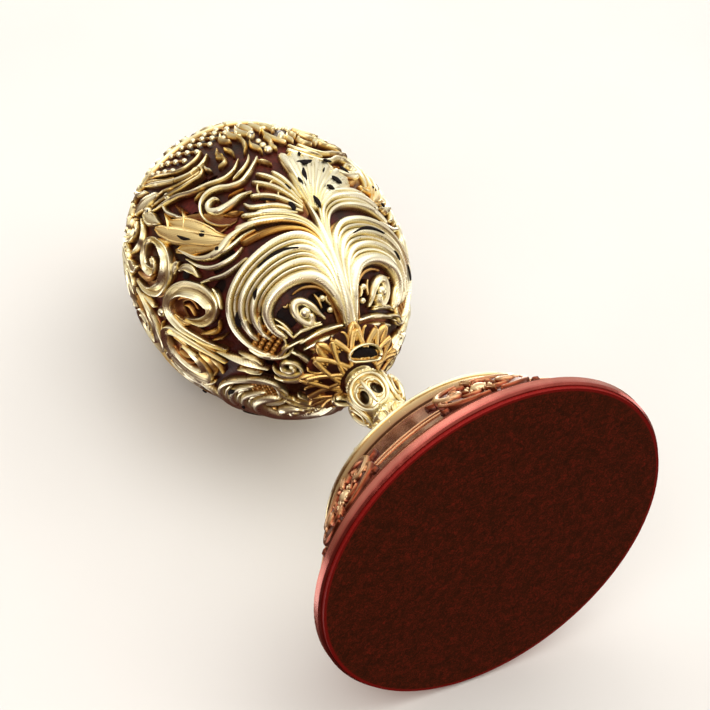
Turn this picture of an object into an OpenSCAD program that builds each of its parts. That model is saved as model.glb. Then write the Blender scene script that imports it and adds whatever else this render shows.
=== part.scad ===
// Egg-shaped lidded ciborium on a domed foot: openwork scroll shells over a
// plain gilt cup, knopped stem and felt-covered base. Millimetres, +Z up,
// origin at the centre of the felt underside.

/* [Foot] */
// Diameter of the base ring
foot_d = 102.6; // [98:0.2:108]
// Thickness of the felt under the foot
felt_t = 1.0; // [0.6:0.1:1.4]
// Height of the base ring above the felt
ring_h = 3.2; // [2.6:0.1:3.6]
// Wall of the spun foot shell
foot_wall = 1.2; // [0.8:0.1:1.6]
// Number of relief cartouches around the foot
cartouches = 6; // [4:1:8]

/* [Stem] */
// Diameter of the threaded tie rod
rod_d = 4.0; // [3.6:0.1:4.2]
// Largest diameter of the openwork knop
knop_d = 15.6; // [14.6:0.2:17]
// Number of lobes on the knop
knop_lobes = 4; // [3:1:5]

/* [Egg] */
// Largest diameter of the egg
egg_d = 76.8; // [74:0.2:80]
// Length of the egg from pole to pole
egg_len = 98; // [94:0.5:102]
// How much fuller the upper half is than the lower half
egg_full = 0.045; // [0:0.005:0.07]
// Height of the lid seam above the base
seam_z = 138; // [134:0.5:142]
// Thickness of the openwork shells
open_t = 2.2; // [1.8:0.1:2.4]
// Wall of the cup and of the lid lining
liner_t = 0.8; // [0.6:0.1:1.0]

/* [Lid] */
// Radial play of the lid spigot in the bowl rim
spigot_play = 0.3; // [0.2:0.05:0.5]
// Depth of the spigot below the seam
spigot_h = 3.6; // [3:0.2:4.4]
// Height of the rosette on top of the lid
rosette_h = 5; // [4:0.5:6]

/* [Hidden] */
$fn = 96;

gold = "goldenrod";
fr = foot_d / 2;
ring_z = felt_t + ring_h;            // top of the base ring, foot of the shell
rod_r = rod_d / 2;
bore_r = rod_r + 0.15;
foot_top = 34.2;                     // flat on the foot that carries the stem
collar_top = 39;
stem_top = 47.5;
leaves_top = 53.5;
knop_z0 = 54.7;
knop_z1 = 68.3;
neck_z = 69.5;
calyx_z = 71;
calyx_floor = 72.2;
egg_z0 = 74;
palm_a = -90;                        // bearing of the first palmette, degrees
cart_a = -94;                        // bearing of the first cartouche
lobe_a = -124;                       // bearing of the first knop lobe
gap = 2.6;                           // egg surface to outside of the lining
floor_z = egg_z0 + gap + 0.4;        // underside of the cup's flat floor

// ---- egg profile -------------------------------------------------------
// Half-angle p runs from 0 at the lower pole to 180 at the upper pole.
function egg_pt(p) = [egg_d / 2 * sin(p) * (1 - egg_full * cos(p)),
                      egg_z0 + egg_len * (1 - cos(p)) / 2];
function unit2(v) = v / norm(v);
function egg_tan(p) = unit2(egg_pt(p + 0.5) - egg_pt(p - 0.5));
function egg_off(p, d) = let (t = egg_tan(p)) egg_pt(p) - d * [t[1], -t[0]];
egg_step = 5;
function egg_curve(d) = [for (p = [egg_step : egg_step : 180 - egg_step])
                         let (q = egg_off(p, d)) if (q[0] > 0.6) q];
module egg_body(d) {
    c = egg_curve(d);
    rotate_extrude($fn = 120)
        polygon(concat([[0, egg_z0 + d]], c, [[0, egg_z0 + egg_len - d]]));
}
// Egg shell between two depths below the surface, from height a to height b
module egg_shell(d0, d1, a, b) {
    intersection() {
        difference() { egg_body(d0); egg_body(d1); }
        translate([0, 0, a]) cylinder(r = egg_d, h = b - a);
    }
}
function seam_r(d) = let (c = 1 - 2 * (seam_z - egg_z0) / egg_len)
    egg_d / 2 * sqrt(1 - c * c) * (1 - egg_full * c) - d;

// ---- flat outlines cut through the shells -------------------------------
// Almond of half length a and half width b
function almond(a, b, n = 8) = concat(
    [for (i = [0 : n]) let (t = -1 + 2 * i / n) [a * t, b * (1 - t * t)]],
    [for (i = [1 : n - 1]) let (t = 1 - 2 * i / n) [a * t, -b * (1 - t * t)]]);
// Puts a flat cutter on the egg at bearing w and height z, turned by tw
module on_egg(w, z, tw = 0)
    rotate([0, 0, w]) translate([egg_d / 2 - 16, 0, z])
        rotate([90, 0, 90]) rotate([0, 0, tw]) linear_extrude(height = 24) children();

// ---- foot --------------------------------------------------------------
// Outside of the foot shell: cone, two beads, hollow band, rounded shoulder
function cone_r(z) = fr - 1.3 - (z - ring_z) * 0.745;
function bead(z0, rb) = [for (a = [-90 : 22.5 : 90])
    [cone_r(z0 + rb * sin(a)) + rb * cos(a), z0 + rb * sin(a)]];
foot_pts = concat(
    [[cone_r(ring_z), ring_z], [cone_r(ring_z) - 0.2, ring_z + 1.2], [cone_r(6.1), 6.1]],
    bead(10.4, 0.5), bead(12.4, 0.5),
    [[cone_r(22.4), 22.4], [cone_r(22.4) - 1.4, 22.9], [cone_r(22.4) - 1.5, 23.6]],
    [for (t = [0 : 0.125 : 1]) let (a = 90 * t)
        [26.5 + (cone_r(24.2) - 26.5) * cos(a), 24.2 + 6.4 * sin(a)]],
    [[19, 32.6], [13.5, foot_top]]);
foot_in = [for (q = foot_pts) [max(q[0] - foot_wall, 1), q[1] - foot_wall * 0.9]];

module base_felt() color("#5a1018")
    cylinder(r = fr - 0.9, h = felt_t, $fn = 160);

module base_plate() color("silver")
    translate([0, 0, felt_t]) difference() {
        cylinder(r = fr - 2.9, h = 1.0, $fn = 160);
        translate([0, 0, -1]) cylinder(r = 3.2, h = 4);
    }

module base_ring() color("#9c4a3c")
    rotate_extrude($fn = 160) polygon([
        [fr - 2.8, felt_t], [fr - 0.5, felt_t], [fr, felt_t + 0.5],
        [fr, ring_z - 0.6], [fr - 0.6, ring_z], [fr - 2.8, ring_z]]);

module foot_shell() color(gold)
    difference() {
        rotate_extrude($fn = 160) polygon(concat(
            [[cone_r(ring_z) - 1.3, ring_z]], foot_pts,
            [[bore_r, foot_top], [bore_r, foot_top - foot_wall],
             [13.5, foot_top - foot_wall], [19, 32.6 - foot_wall]],
            [for (t = [1 : -0.25 : 0]) let (a = 90 * t)
                [26.5 - foot_wall + (cone_r(24.2) - 26.5) * cos(a),
                 24.2 - foot_wall + 6.4 * sin(a)]]));
    }

// Relief plates bent to the cone of the foot
module cone_skin(d0, d1)
    rotate_extrude($fn = 160) polygon([
        [cone_r(6.4) + d0, 6.4], [cone_r(6.4) + d1, 6.4],
        [cone_r(21.8) + d1, 21.8], [cone_r(21.8) + d0, 21.8]]);
module foot_cartouches() color(gold)
    intersection() {
        difference() {
            cone_skin(0.0, 2.6);
            for (z = [10.4, 12.4]) rotate_extrude($fn = 160)
                translate([cone_r(z), z]) circle(r = 0.8, $fn = 32);
        }
        for (i = [0 : cartouches - 1]) rotate([0, 0, i * 360 / cartouches + cart_a])
            translate([20, 0, 14]) rotate([90, 0, 90]) linear_extrude(height = 40)
                polygon(almond(9.6, 8.4, 12));
    }

module foot_washer() color("silver")
    translate([0, 0, foot_top - foot_wall - 1]) difference() {
        cylinder(r = 7, h = 1);
        translate([0, 0, -1]) cylinder(r = bore_r, h = 3);
    }

module foot_nut() color("silver")
    translate([0, 0, foot_top - foot_wall - 4.2]) difference() {
        cylinder(r = 4.05, h = 3.2, $fn = 6);
        translate([0, 0, -1]) cylinder(r = rod_r + 0.05, h = 6);
    }

module tie_rod() color("silver")
    translate([0, 0, 27.4]) cylinder(r = rod_r, h = floor_z - 1.2 - 27.4);

// ---- stem --------------------------------------------------------------
module turned(pts) rotate_extrude($fn = 72)
    polygon(concat([[bore_r, pts[0][1]]], pts, [[bore_r, pts[len(pts) - 1][1]]]));

module foot_collar() color(gold)
    turned(concat([[13, foot_top], [13, foot_top + 0.8], [11.6, foot_top + 1.2]],
        [for (t = [0 : 0.125 : 1]) [5.2 + 6 * pow(1 - t, 2), foot_top + 1.3 + 2.6 * t]],
        [[5.6, 38.3], [5.6, collar_top]]));

module lower_stem() color(gold)
    turned(concat([[4.6, collar_top], [4.6, collar_top + 0.6]],
        [for (t = [0 : 0.125 : 1]) [3.4 + 1.5 * sin(180 * t) + 0.4 * t, 40 + 6.4 * t]],
        [[4.6, 46.9], [4.6, stem_top]]));

module stem_leaves() color(gold)
    difference() {
        turned(concat([[4, stem_top]],
            [for (t = [0 : 0.125 : 1]) [4 + 2.6 * pow(t, 1.6), stem_top + 5 * t]],
            [[4.4, leaves_top - 0.2], [4.4, leaves_top]]));
        for (i = [0 : 7]) rotate([0, 0, i * 45 + 22.5])
            translate([7.6, 0, leaves_top]) rotate([90, 0, 90])
                linear_extrude(height = 8, center = true)
                    polygon([[-1.1, 1], [0, -3.2], [1.1, 1]]);
    }

module knop_lower_ring() color(gold)
    turned([[4.8, leaves_top], [5.2, leaves_top + 0.4], [5.2, knop_z0 - 0.4], [4.8, knop_z0]]);

module knop_core() color(gold)
    translate([0, 0, knop_z0]) difference() {
        cylinder(r = 3.1, h = knop_z1 - knop_z0);
        translate([0, 0, -1]) cylinder(r = bore_r, h = 20);
    }

knop_mid = (knop_z0 + knop_z1) / 2;
knop_hh = (knop_z1 - knop_z0) / 2;
function knop_r(t) = 4.2 + (knop_d / 2 - 4.2) * pow(cos(90 * t), 0.6);
module knop_cage() color(gold)
    difference() {
        rotate_extrude($fn = 72) polygon(concat(
            [for (i = [0 : 16]) let (t = -1 + i / 8) [knop_r(t), knop_mid + knop_hh * t]],
            [for (i = [0 : 16]) let (t = 1 - i / 8)
                [max(knop_r(t) - 1.5, 3.3), knop_mid + knop_hh * t * (abs(t) == 1 ? 1 : 0.93)]]));
        // two eyes in each lobe
        for (i = [0 : knop_lobes - 1]) rotate([0, 0, i * 360 / knop_lobes + lobe_a])
            for (s = [-1, 1]) translate([0, s * 1.75, knop_mid + 1.2])
                rotate([90, 0, 90]) linear_extrude(height = 12)
                    rotate([0, 0, 90 - s * 12]) polygon(almond(2.4, 1.1, 6));
        // open ground between the lobes
        for (i = [0 : knop_lobes - 1]) rotate([0, 0, (i + 0.5) * 360 / knop_lobes + lobe_a])
            translate([0, 0, knop_mid]) rotate([90, 0, 90]) linear_extrude(height = 12)
                rotate([0, 0, 90]) polygon(almond(4.8, 1.3, 8));
    }

module knop_upper_ring() color(gold)
    turned([[4.8, knop_z1], [5.2, knop_z1 + 0.4], [5.2, neck_z - 0.4], [4.8, neck_z]]);

module upper_neck() color(gold)
    turned([[4.0, neck_z], [3.6, neck_z + 0.5], [3.6, calyx_z - 0.5], [4.4, calyx_z]]);

// Cup of leaves under the egg
module calyx() color(gold)
    difference() {
        intersection() {
            difference() {
                union() {
                    difference() { egg_body(-1.7); egg_body(-0.1); }
                    translate([0, 0, calyx_z]) cylinder(r1 = 5, r2 = 8.6, h = 2.4);
                }
                egg_body(-0.1);
            }
            translate([0, 0, calyx_z]) cylinder(r = 18.4, h = 9);
        }
        translate([0, 0, calyx_z - 1]) cylinder(r = bore_r, h = 6);
        translate([0, 0, calyx_floor]) cylinder(r = 4.3, h = 6);
        for (i = [0 : 7]) rotate([0, 0, i * 45 + palm_a + 22.5])
            translate([17, 0, 80]) rotate([90, 0, 90])
                linear_extrude(height = 14, center = true)
                    polygon([[-3.4, 2], [0, -6], [3.4, 2]]);
    }

// ---- bowl --------------------------------------------------------------
module bowl_boss() color(gold)
    translate([0, 0, calyx_floor]) difference() {
        cylinder(r = 4.0, h = floor_z - calyx_floor);
        translate([0, 0, -1]) cylinder(r = rod_r + 0.05, h = floor_z - calyx_floor);
    }

module bowl_liner() color(gold) {
    union() {
        egg_shell(gap, gap + liner_t, floor_z, seam_z - spigot_h - 0.4);
        translate([0, 0, floor_z]) cylinder(r = 5.6, h = liner_t);
    }
}

// Eyes, slits and scroll gaps of the lower openwork
module bowl_openwork() color(gold)
    difference() {
        egg_shell(0, open_t, egg_z0, seam_z - 0.1);
        translate([0, 0, egg_z0 - 1]) cylinder(r = 4.4, h = 8);
        for (h = [0, 180], s = [-1, 1]) {
            on_egg(palm_a + h + s * 17, 86, s * 20) polygon(almond(5.2, 3));
            on_egg(palm_a + h + s * 47, 88, -s * 15) polygon(almond(4.6, 3));
            on_egg(palm_a + h + s * 7, 112, 90) polygon(almond(3.6, 1));
            on_egg(palm_a + h + s * 16, 118, 90) polygon(almond(3.6, 1));
            on_egg(palm_a + h + s * 62, 104, 70 * s) polygon(almond(4.2, 1.8));
            on_egg(palm_a + h + s * 76, 121, -50 * s) polygon(almond(5, 1.8));
            on_egg(palm_a + h + s * 44, 129, 8 * s) polygon(almond(6, 1.4));
        }
    }

rim_in = seam_r(open_t) - 1.6;           // bore of the bowl rim
module bowl_rim() color(gold)
    rotate_extrude($fn = 120) polygon([
        [rim_in, seam_z - spigot_h - 0.4], [seam_r(open_t) - 0.12, seam_z - spigot_h - 0.4],
        [seam_r(open_t) - 0.12, seam_z], [rim_in, seam_z]]);

// Pins through the openwork into the rim
module pin_row(z, n, a0) for (i = [0 : n - 1]) rotate([0, 0, a0 + i * 360 / n])
    translate([seam_r(open_t) - 0.85, 0, z]) rotate([0, 90, 0])
        cylinder(r = 0.55, h = open_t + 1.0, $fn = 24);
module bowl_pins() color("silver") pin_row(seam_z - 2.4, 6, palm_a + 12);

// ---- lid ---------------------------------------------------------------
spig_r = rim_in - spigot_play;           // outside of the spigot
module lid_bezel() color(gold)
    rotate_extrude($fn = 120) polygon([
        [spig_r - 1, seam_z - spigot_h], [spig_r, seam_z - spigot_h],
        [spig_r, seam_z], [seam_r(open_t) - 1.1, seam_z],
        [seam_r(open_t) - 1.1, seam_z + 2.6], [spig_r - 1, seam_z + 2.6]]);

module lid_liner() color(gold)
    difference() {
        egg_shell(gap + 1.2, gap + 1.2 + liner_t, seam_z + 2.6, egg_z0 + egg_len);
        translate([0, 0, egg_z0 + egg_len - 10]) cylinder(r = 1.7, h = 12);
    }

module lid_openwork() color(gold)
    difference() {
        egg_shell(0, open_t, seam_z + 0.1, egg_z0 + egg_len);
        translate([0, 0, egg_z0 + egg_len - 6]) cylinder(r = 1.7, h = 8);
        for (i = [0 : 11]) rotate([0, 0, palm_a + 15 + i * 30])
            translate([18, 0, seam_z + 12]) rotate([90, 0, 90]) linear_extrude(height = 22)
                polygon(almond(3.4, 2, 4));
    }

module lid_pins() color("silver")
    for (i = [0 : 5]) rotate([0, 0, palm_a + i * 60])
        translate([seam_r(open_t) - 1.9, 0, seam_z + 1.4]) rotate([0, 90, 0])
            cylinder(r = 0.55, h = open_t + 1.8, $fn = 24);

// Rosette that closes the top of the lid, on a stud with an inside nut
ros_z = egg_z0 + egg_len - 0.6;
module lid_rosette() color(gold)
    difference() {
        intersection() {
            rotate_extrude($fn = 72) polygon(concat(
                [[0, ros_z - 2], [10.5, ros_z - 2], [10.5, ros_z + 0.2], [7.4, ros_z + 1.4],
                 [5.4, ros_z + 1.5]],
                [for (a = [0 : 15 : 90]) [4.2 * cos(a), ros_z + 1.6 + (rosette_h - 1.0) * sin(a)]]));
            translate([0, 0, ros_z - 4]) cylinder(r = 40, h = 20);
        }
        egg_body(-0.02);
        translate([0, 0, ros_z - 3]) cylinder(r = 1.5, h = 5);
    }

module lid_stud() color("silver")
    translate([0, 0, ros_z - 9]) cylinder(r = 1.45, h = 10.6);

module lid_nut() color("silver")
    translate([0, 0, egg_z0 + egg_len - gap - 1.2 - liner_t - 2.6]) difference() {
        cylinder(r = 3.1, h = 2.4, $fn = 6);
        translate([0, 0, -1]) cylinder(r = 1.5, h = 5);
    }

base_felt();
base_plate();
base_ring();
foot_shell();
foot_cartouches();
foot_nut();
foot_washer();
tie_rod();
foot_collar();
lower_stem();
stem_leaves();
knop_lower_ring();
knop_core();
knop_cage();
knop_upper_ring();
upper_neck();
calyx();
bowl_boss();
bowl_liner();
bowl_openwork();
bowl_rim();
bowl_pins();
lid_bezel();
lid_liner();
lid_openwork();
lid_pins();
lid_rosette();
lid_stud();
lid_nut();
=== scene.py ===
import math

import bmesh
import bpy
import numpy as np
from mathutils import Matrix, Vector


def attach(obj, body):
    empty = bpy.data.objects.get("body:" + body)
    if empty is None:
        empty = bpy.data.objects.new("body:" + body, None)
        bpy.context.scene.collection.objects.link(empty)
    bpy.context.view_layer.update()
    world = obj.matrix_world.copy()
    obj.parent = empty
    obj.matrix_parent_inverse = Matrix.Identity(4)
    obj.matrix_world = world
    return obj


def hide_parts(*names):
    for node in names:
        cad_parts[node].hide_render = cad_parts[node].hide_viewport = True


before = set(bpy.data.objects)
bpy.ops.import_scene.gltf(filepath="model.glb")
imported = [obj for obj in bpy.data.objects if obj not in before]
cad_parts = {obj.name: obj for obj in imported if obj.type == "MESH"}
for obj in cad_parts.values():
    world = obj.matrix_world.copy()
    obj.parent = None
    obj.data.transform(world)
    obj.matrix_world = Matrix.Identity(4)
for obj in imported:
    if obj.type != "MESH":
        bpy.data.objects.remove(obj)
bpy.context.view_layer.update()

MM = 0.001
RAD = math.pi / 180.0
STEP = 0.45          # spacing of rings along a stroke, mm

# ------------------------------------------------------------------ surfaces
# A surface of revolution: bearing a in degrees, arc length s up the meridian in mm.


class Rev:
    def __init__(self, pts):
        p = np.asarray(pts, float)
        d = np.hypot(*np.diff(p, axis=0).T)
        s = np.concatenate([[0], np.cumsum(d)])
        n = max(200, int(s[-1] / 0.1))
        self.S = np.linspace(0, s[-1], n)
        self.Rr = np.interp(self.S, s, p[:, 0])
        self.Zz = np.interp(self.S, s, p[:, 1])
        tr, tz = np.gradient(self.Rr, self.S), np.gradient(self.Zz, self.S)
        k = np.hypot(tr, tz)
        self.Nr, self.Nz = tz / k, -tr / k
        self.len = s[-1]

    def r(self, s):
        return np.interp(s, self.S, self.Rr)

    def z(self, s):
        return np.interp(s, self.S, self.Zz)

    def s_of(self, z):
        return np.interp(z, self.Zz, self.S)

    def pos(self, a, s, h=0.0):
        a = np.asarray(a, float) * RAD
        r, z = self.r(s), self.z(s)
        nr, nz = np.interp(s, self.S, self.Nr), np.interp(s, self.S, self.Nz)
        r, z = r + nr * h, z + nz * h
        return np.stack([r * np.cos(a), r * np.sin(a), z + 0 * a], -1)

    def normal(self, a, s):
        a = np.asarray(a, float) * RAD
        nr, nz = np.interp(s, self.S, self.Nr), np.interp(s, self.S, self.Nz)
        return np.stack([nr * np.cos(a), nr * np.sin(a), nz + 0 * a], -1)


# Egg: the same rule as the CAD shells
EGG_D, EGG_L, EGG_Z0, EGG_K, SEAM = 76.8, 98.0, 74.0, 0.045, 138.0


def egg_points(depth, lo=1.0, hi=179.0, n=721):
    p = np.linspace(lo, hi, n) * RAD
    r = EGG_D / 2 * np.sin(p) * (1 - EGG_K * np.cos(p))
    z = EGG_Z0 + EGG_L * (1 - np.cos(p)) / 2
    tr, tz = np.gradient(r), np.gradient(z)
    k = np.hypot(tr, tz)
    r, z = r - depth * tz / k, z + depth * tr / k
    ok = r > 0.3
    return np.stack([r[ok], z[ok]], -1)


GROUND = 1.9                                 # depth of the ground under the CAD surface
EGG = Rev(egg_points(GROUND))
CONE_TOP, CONE_BOT = 22.4, 4.2
cone_r = lambda z: 51.3 - 1.3 - (z - CONE_BOT) * 0.745


# ------------------------------------------------------------------ curves
def catmull(p, step):
    """Smooth curve through control points (n, k), resampled about every step."""
    p = np.asarray(p, float)
    if len(p) == 2:
        n = max(2, int(np.linalg.norm(p[1] - p[0]) / step) + 1)
        return p[0] + (p[1] - p[0]) * np.linspace(0, 1, n)[:, None]
    d = np.maximum(np.linalg.norm(np.diff(p, axis=0), axis=1), 1e-6) ** 0.5
    t = np.concatenate([[0], np.cumsum(d)])
    first, last = 2 * p[0] - p[1], 2 * p[-1] - p[-2]
    P = np.vstack([first, p, last])
    T = np.concatenate([[t[0] - d[0]], t, [t[-1] + d[-1]]])
    out = []
    for i in range(1, len(P) - 2):
        m = 14
        u = np.linspace(T[i], T[i + 1], m, endpoint=(i == len(P) - 3))[:, None]
        A1 = (T[i] - u) / (T[i] - T[i - 1]) * P[i - 1] + (u - T[i - 1]) / (T[i] - T[i - 1]) * P[i]
        A2 = (T[i + 1] - u) / (T[i + 1] - T[i]) * P[i] + (u - T[i]) / (T[i + 1] - T[i]) * P[i + 1]
        A3 = (T[i + 2] - u) / (T[i + 2] - T[i + 1]) * P[i + 1] + (u - T[i + 1]) / (T[i + 2] - T[i + 1]) * P[i + 2]
        B1 = (T[i + 1] - u) / (T[i + 1] - T[i - 1]) * A1 + (u - T[i - 1]) / (T[i + 1] - T[i - 1]) * A2
        B2 = (T[i + 2] - u) / (T[i + 2] - T[i]) * A2 + (u - T[i]) / (T[i + 2] - T[i]) * A3
        out.append((T[i + 1] - u) / (T[i + 1] - T[i]) * B1 + (u - T[i]) / (T[i + 1] - T[i]) * B2)
    return resample(np.vstack(out), step)


def resample(p, step=None, n=None):
    d = np.linalg.norm(np.diff(p, axis=0), axis=1)
    s = np.concatenate([[0], np.cumsum(d)])
    if n is None:
        n = max(6, int(round(s[-1] / step)) + 1)
    t = np.linspace(0, s[-1], n)
    return np.stack([np.interp(t, s, p[:, k]) for k in range(p.shape[1])], -1)


def path_on(surf, pts, step=STEP, end=None, start=None):
    """Smooth path (bearing, s) through points (bearing, height). end and start add volutes:
    (first radius, last radius, turns, side), side +1 turning from +bearing towards up."""
    pts = np.asarray(pts, float)
    k = RAD * 28.0
    q = np.stack([pts[:, 0] * k, surf.s_of(pts[:, 1])], -1)
    m = catmull(q, step * 0.4)
    m[:, 0] /= k
    m = even_on(surf, m, step=step)
    if end:
        m = np.vstack([m, spiral(surf, m[-2], m[-1], end, step)])
    if start:
        m = np.vstack([spiral(surf, m[1], m[0], start, step)[::-1], m])
    return m


def even_on(surf, p, step=None, n=None):
    d = np.hypot(np.diff(p[:, 0]) * RAD * surf.r((p[1:, 1] + p[:-1, 1]) / 2), np.diff(p[:, 1]))
    s = np.concatenate([[0], np.cumsum(d)])
    if n is None:
        n = max(6, int(round(s[-1] / step)) + 1)
    t = np.linspace(0, s[-1], n)
    return np.stack([np.interp(t, s, p[:, 0]), np.interp(t, s, p[:, 1])], -1)


def spiral(surf, p0, p1, spec, step):
    r0, r1, turns, side = spec
    k = max(float(surf.r(p1[1])), 1.0) * RAD
    th = math.atan2(p1[1] - p0[1], (p1[0] - p0[0]) * k)
    total = abs(turns) * 2 * math.pi
    out, x, y, ph = [], 0.0, 0.0, 0.0
    while ph < total:
        r = r0 * (r1 / r0) ** (ph / total)
        st = min(step, r * 0.35)
        th += side * st / r
        ph += st / r
        x += st * math.cos(th)
        y += st * math.sin(th)
        out.append((p1[0] + x / k, p1[1] + y))
    return np.array(out)


# ------------------------------------------------------------------ strokes
PROFILES = {
    # across -1..1, height 0..1
    "round": [(-1, 0.34), (-0.86, 0.66), (-0.5, 0.93), (0, 1.0), (0.5, 0.93), (0.86, 0.66), (1, 0.34)],
    "ridge": [(-1, 0.26), (-0.8, 0.5), (-0.38, 0.78), (0, 1.0), (0.38, 0.78), (0.8, 0.5), (1, 0.26)],
    "channel": [(-1, 0.62), (-0.93, 0.93), (-0.78, 1.0), (-0.6, 0.84), (-0.3, 0.56), (0, 0.48), (0.3, 0.56),
                (0.6, 0.84), (0.78, 1.0), (0.93, 0.93), (1, 0.62)],
    "dish": [(-1, 0.6), (-0.95, 0.94), (-0.86, 1.0), (-0.74, 0.8), (-0.45, 0.58), (0, 0.5), (0.45, 0.58),
             (0.74, 0.8), (0.86, 1.0), (0.95, 0.94), (1, 0.6)],
    "leaf": [(-1, 0.4), (-0.96, 0.74), (-0.88, 0.94), (-0.76, 0.98), (-0.6, 0.84), (-0.3, 0.88), (0, 0.93), (0.3, 0.88), (0.6, 0.84),
             (0.76, 0.98), (0.88, 0.94), (0.96, 0.74), (1, 0.4)],
    "double": [(-1, 0.5), (-0.88, 0.9), (-0.6, 1.0), (-0.3, 0.86), (-0.1, 0.45), (0.1, 0.45), (0.3, 0.86),
               (0.6, 1.0), (0.88, 0.9), (1, 0.5)],
}


class Mesh:
    """Collects closed solids."""

    def __init__(self):
        self.v, self.f, self.h, self.n = [], [], [], 0
        self.run, self.span = [], []

    def add(self, v, f, h, run=None, span=None):
        self.v.append(np.asarray(v, float))
        self.f.extend([tuple(i + self.n for i in q) for q in f])
        self.h.append(np.asarray(h, float))
        self.run.append(np.zeros(len(v)) if run is None else np.asarray(run, float))
        self.span.append(np.zeros(len(v)) if span is None else np.asarray(span, float))
        self.n += len(v)

    def grid(self, rings, hs, run=None, span=None):
        """Closed tube: rings (m, k, 3), capped with fans at both ends."""
        m, k = rings.shape[:2]
        v = rings.reshape(-1, 3)
        f = []
        for i in range(m - 1):
            a, b = i * k, (i + 1) * k
            for j in range(k):
                j2 = (j + 1) % k
                f.append((a + j, a + j2, b + j2, b + j))
        f.append(tuple(range(k - 1, -1, -1)))
        f.append(tuple((m - 1) * k + j for j in range(k)))
        self.add(v, f, hs.reshape(-1), None if run is None else run.reshape(-1), None if span is None else span.reshape(-1))

    def obj(self, name, smooth=42.0):
        me = bpy.data.meshes.new(name)
        me.from_pydata(np.vstack(self.v) * MM, [], self.f)
        at = me.attributes.new("relief", "FLOAT", "POINT")
        at.data.foreach_set("value", np.concatenate(self.h).astype(np.float32))
        for nm, src in (("run", self.run), ("span", self.span)):
            at = me.attributes.new(nm, "FLOAT", "POINT")
            at.data.foreach_set("value", np.concatenate(src).astype(np.float32))
        bm = bmesh.new()
        bm.from_mesh(me)
        bmesh.ops.recalc_face_normals(bm, faces=bm.faces)
        bm.to_mesh(me)
        bm.free()
        o = bpy.data.objects.new(name, me)
        bpy.context.scene.collection.objects.link(o)
        me.shade_smooth()
        me.set_sharp_from_angle(angle=math.radians(smooth))
        return o


def along(n, ctrl):
    """Value along a stroke: a number, or [(t, value), ...] blended smoothly."""
    t = np.linspace(0, 1, n)
    if np.isscalar(ctrl):
        return np.full(n, float(ctrl))
    c = np.asarray(ctrl, float)
    x, y = c[:, 0], c[:, 1]
    i = np.clip(np.searchsorted(x, t, side="right") - 1, 0, len(x) - 2)
    u = np.clip((t - x[i]) / np.maximum(x[i + 1] - x[i], 1e-9), 0, 1)
    u = u * u * (3 - 2 * u)
    return y[i] + (y[i + 1] - y[i]) * u


def ends(n, length, cap0, cap1):
    """Rounds the ends of a stroke over cap mm."""
    s = np.linspace(0, length, n)
    a = np.clip(s / max(cap0, 1e-6), 0, 1)
    b = np.clip((length - s) / max(cap1, 1e-6), 0, 1)
    e = lambda x: np.sqrt(np.clip(1 - (1 - x) ** 2, 0, 1))
    return np.maximum(e(a) * e(b), 0.06)


def stroke(M, surf, path, w, h, prof="round", base=-0.3, caps=(0.8, 0.8), lift=0.0, tone=1.0):
    """Sweeps a ribbon over a path (bearing, s). w and h are mm, as numbers or along() lists. tone scales the relief
    attribute: below 1 it is painted shade on the stroke, above 1 a painted highlight.
    """
    n = len(path)
    a, s = path[:, 0], path[:, 1]
    P = surf.pos(a, s)
    N = surf.normal(a, s)
    T = np.gradient(P, axis=0)
    T /= np.maximum(np.linalg.norm(T, axis=1, keepdims=True), 1e-9)
    N = N - (N * T).sum(1, keepdims=True) * T
    N /= np.linalg.norm(N, axis=1, keepdims=True)
    B = np.cross(N, T)
    L = np.linalg.norm(np.diff(P, axis=0), axis=1).sum()
    e = ends(n, L, *caps)
    W, H, LF = along(n, w) * e / 2, along(n, h), along(n, lift)
    He = H * (0.35 + 0.65 * e)
    pr = np.array(PROFILES[prof])
    u = np.concatenate([[-1.0], pr[:, 0], [1.0]])
    g = np.concatenate([[0.0], pr[:, 1], [0.0]])
    up = np.where(np.arange(len(u)) % (len(u) - 1) == 0, 0, 1)
    hh = LF[:, None] + He[:, None] * g[None]
    hh[:, 0] = base + LF * 0.999
    hh[:, -1] = base + LF * 0.999
    inset = np.ones(len(u))
    rings = P[:, None] + B[:, None] * (W[:, None] * u[None] * inset)[..., None] + N[:, None] * hh[..., None]
    # relief attribute: height above the ground times tone, which gilt() turns into painted shade and painted highlight
    rel = np.clip(hh / 2.2, 0, 1.2) * tone
    run = np.concatenate([[0], np.cumsum(np.linalg.norm(np.diff(P, axis=0), axis=1))])
    M.grid(rings, rel, run[:, None] + 0 * hh, W[:, None] * u[None])


def bundle(M, surf, A, B, heights, prof="round", gap=0.92, caps=(1.0, 1.4), base=-0.3, wmin=0.35, tone=1.0, start=0.75,
           wts=None, stops=None, starts=None):
    """A ribbed leaf: one rib per height, side by side between two guide paths. wts are relative widths, stops shorten ribs."""
    m = max(len(A), len(B))
    pa, pb = even_on(surf, A, n=m), even_on(surf, B, n=m)
    mm = np.hypot((pb[:, 0] - pa[:, 0]) * RAD * surf.r((pa[:, 1] + pb[:, 1]) / 2), pb[:, 1] - pa[:, 1])
    n = len(heights)
    wts = np.array(wts if wts else [1.0] * n, float)
    wts /= wts.sum()
    edge = np.concatenate([[0], np.cumsum(wts)])
    for k, h in enumerate(heights):
        t = (edge[k] + edge[k + 1]) / 2
        p = pa * (1 - t) + pb * t
        i0, i1 = int(m * (starts[k] if starts else 0.0)), int(m * (stops[k] if stops else 1.0))
        q = p[i0:i1]
        wv = np.maximum(mm[i0:i1] * wts[k] * gap, wmin)
        ww = np.stack([np.linspace(0, 1, i1 - i0), wv], -1)
        stroke(M, surf, q, ww, [(0, h * start), (0.25, h), (0.75, h), (1, h * 0.75)], prof, base, caps, tone=tone)


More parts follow.
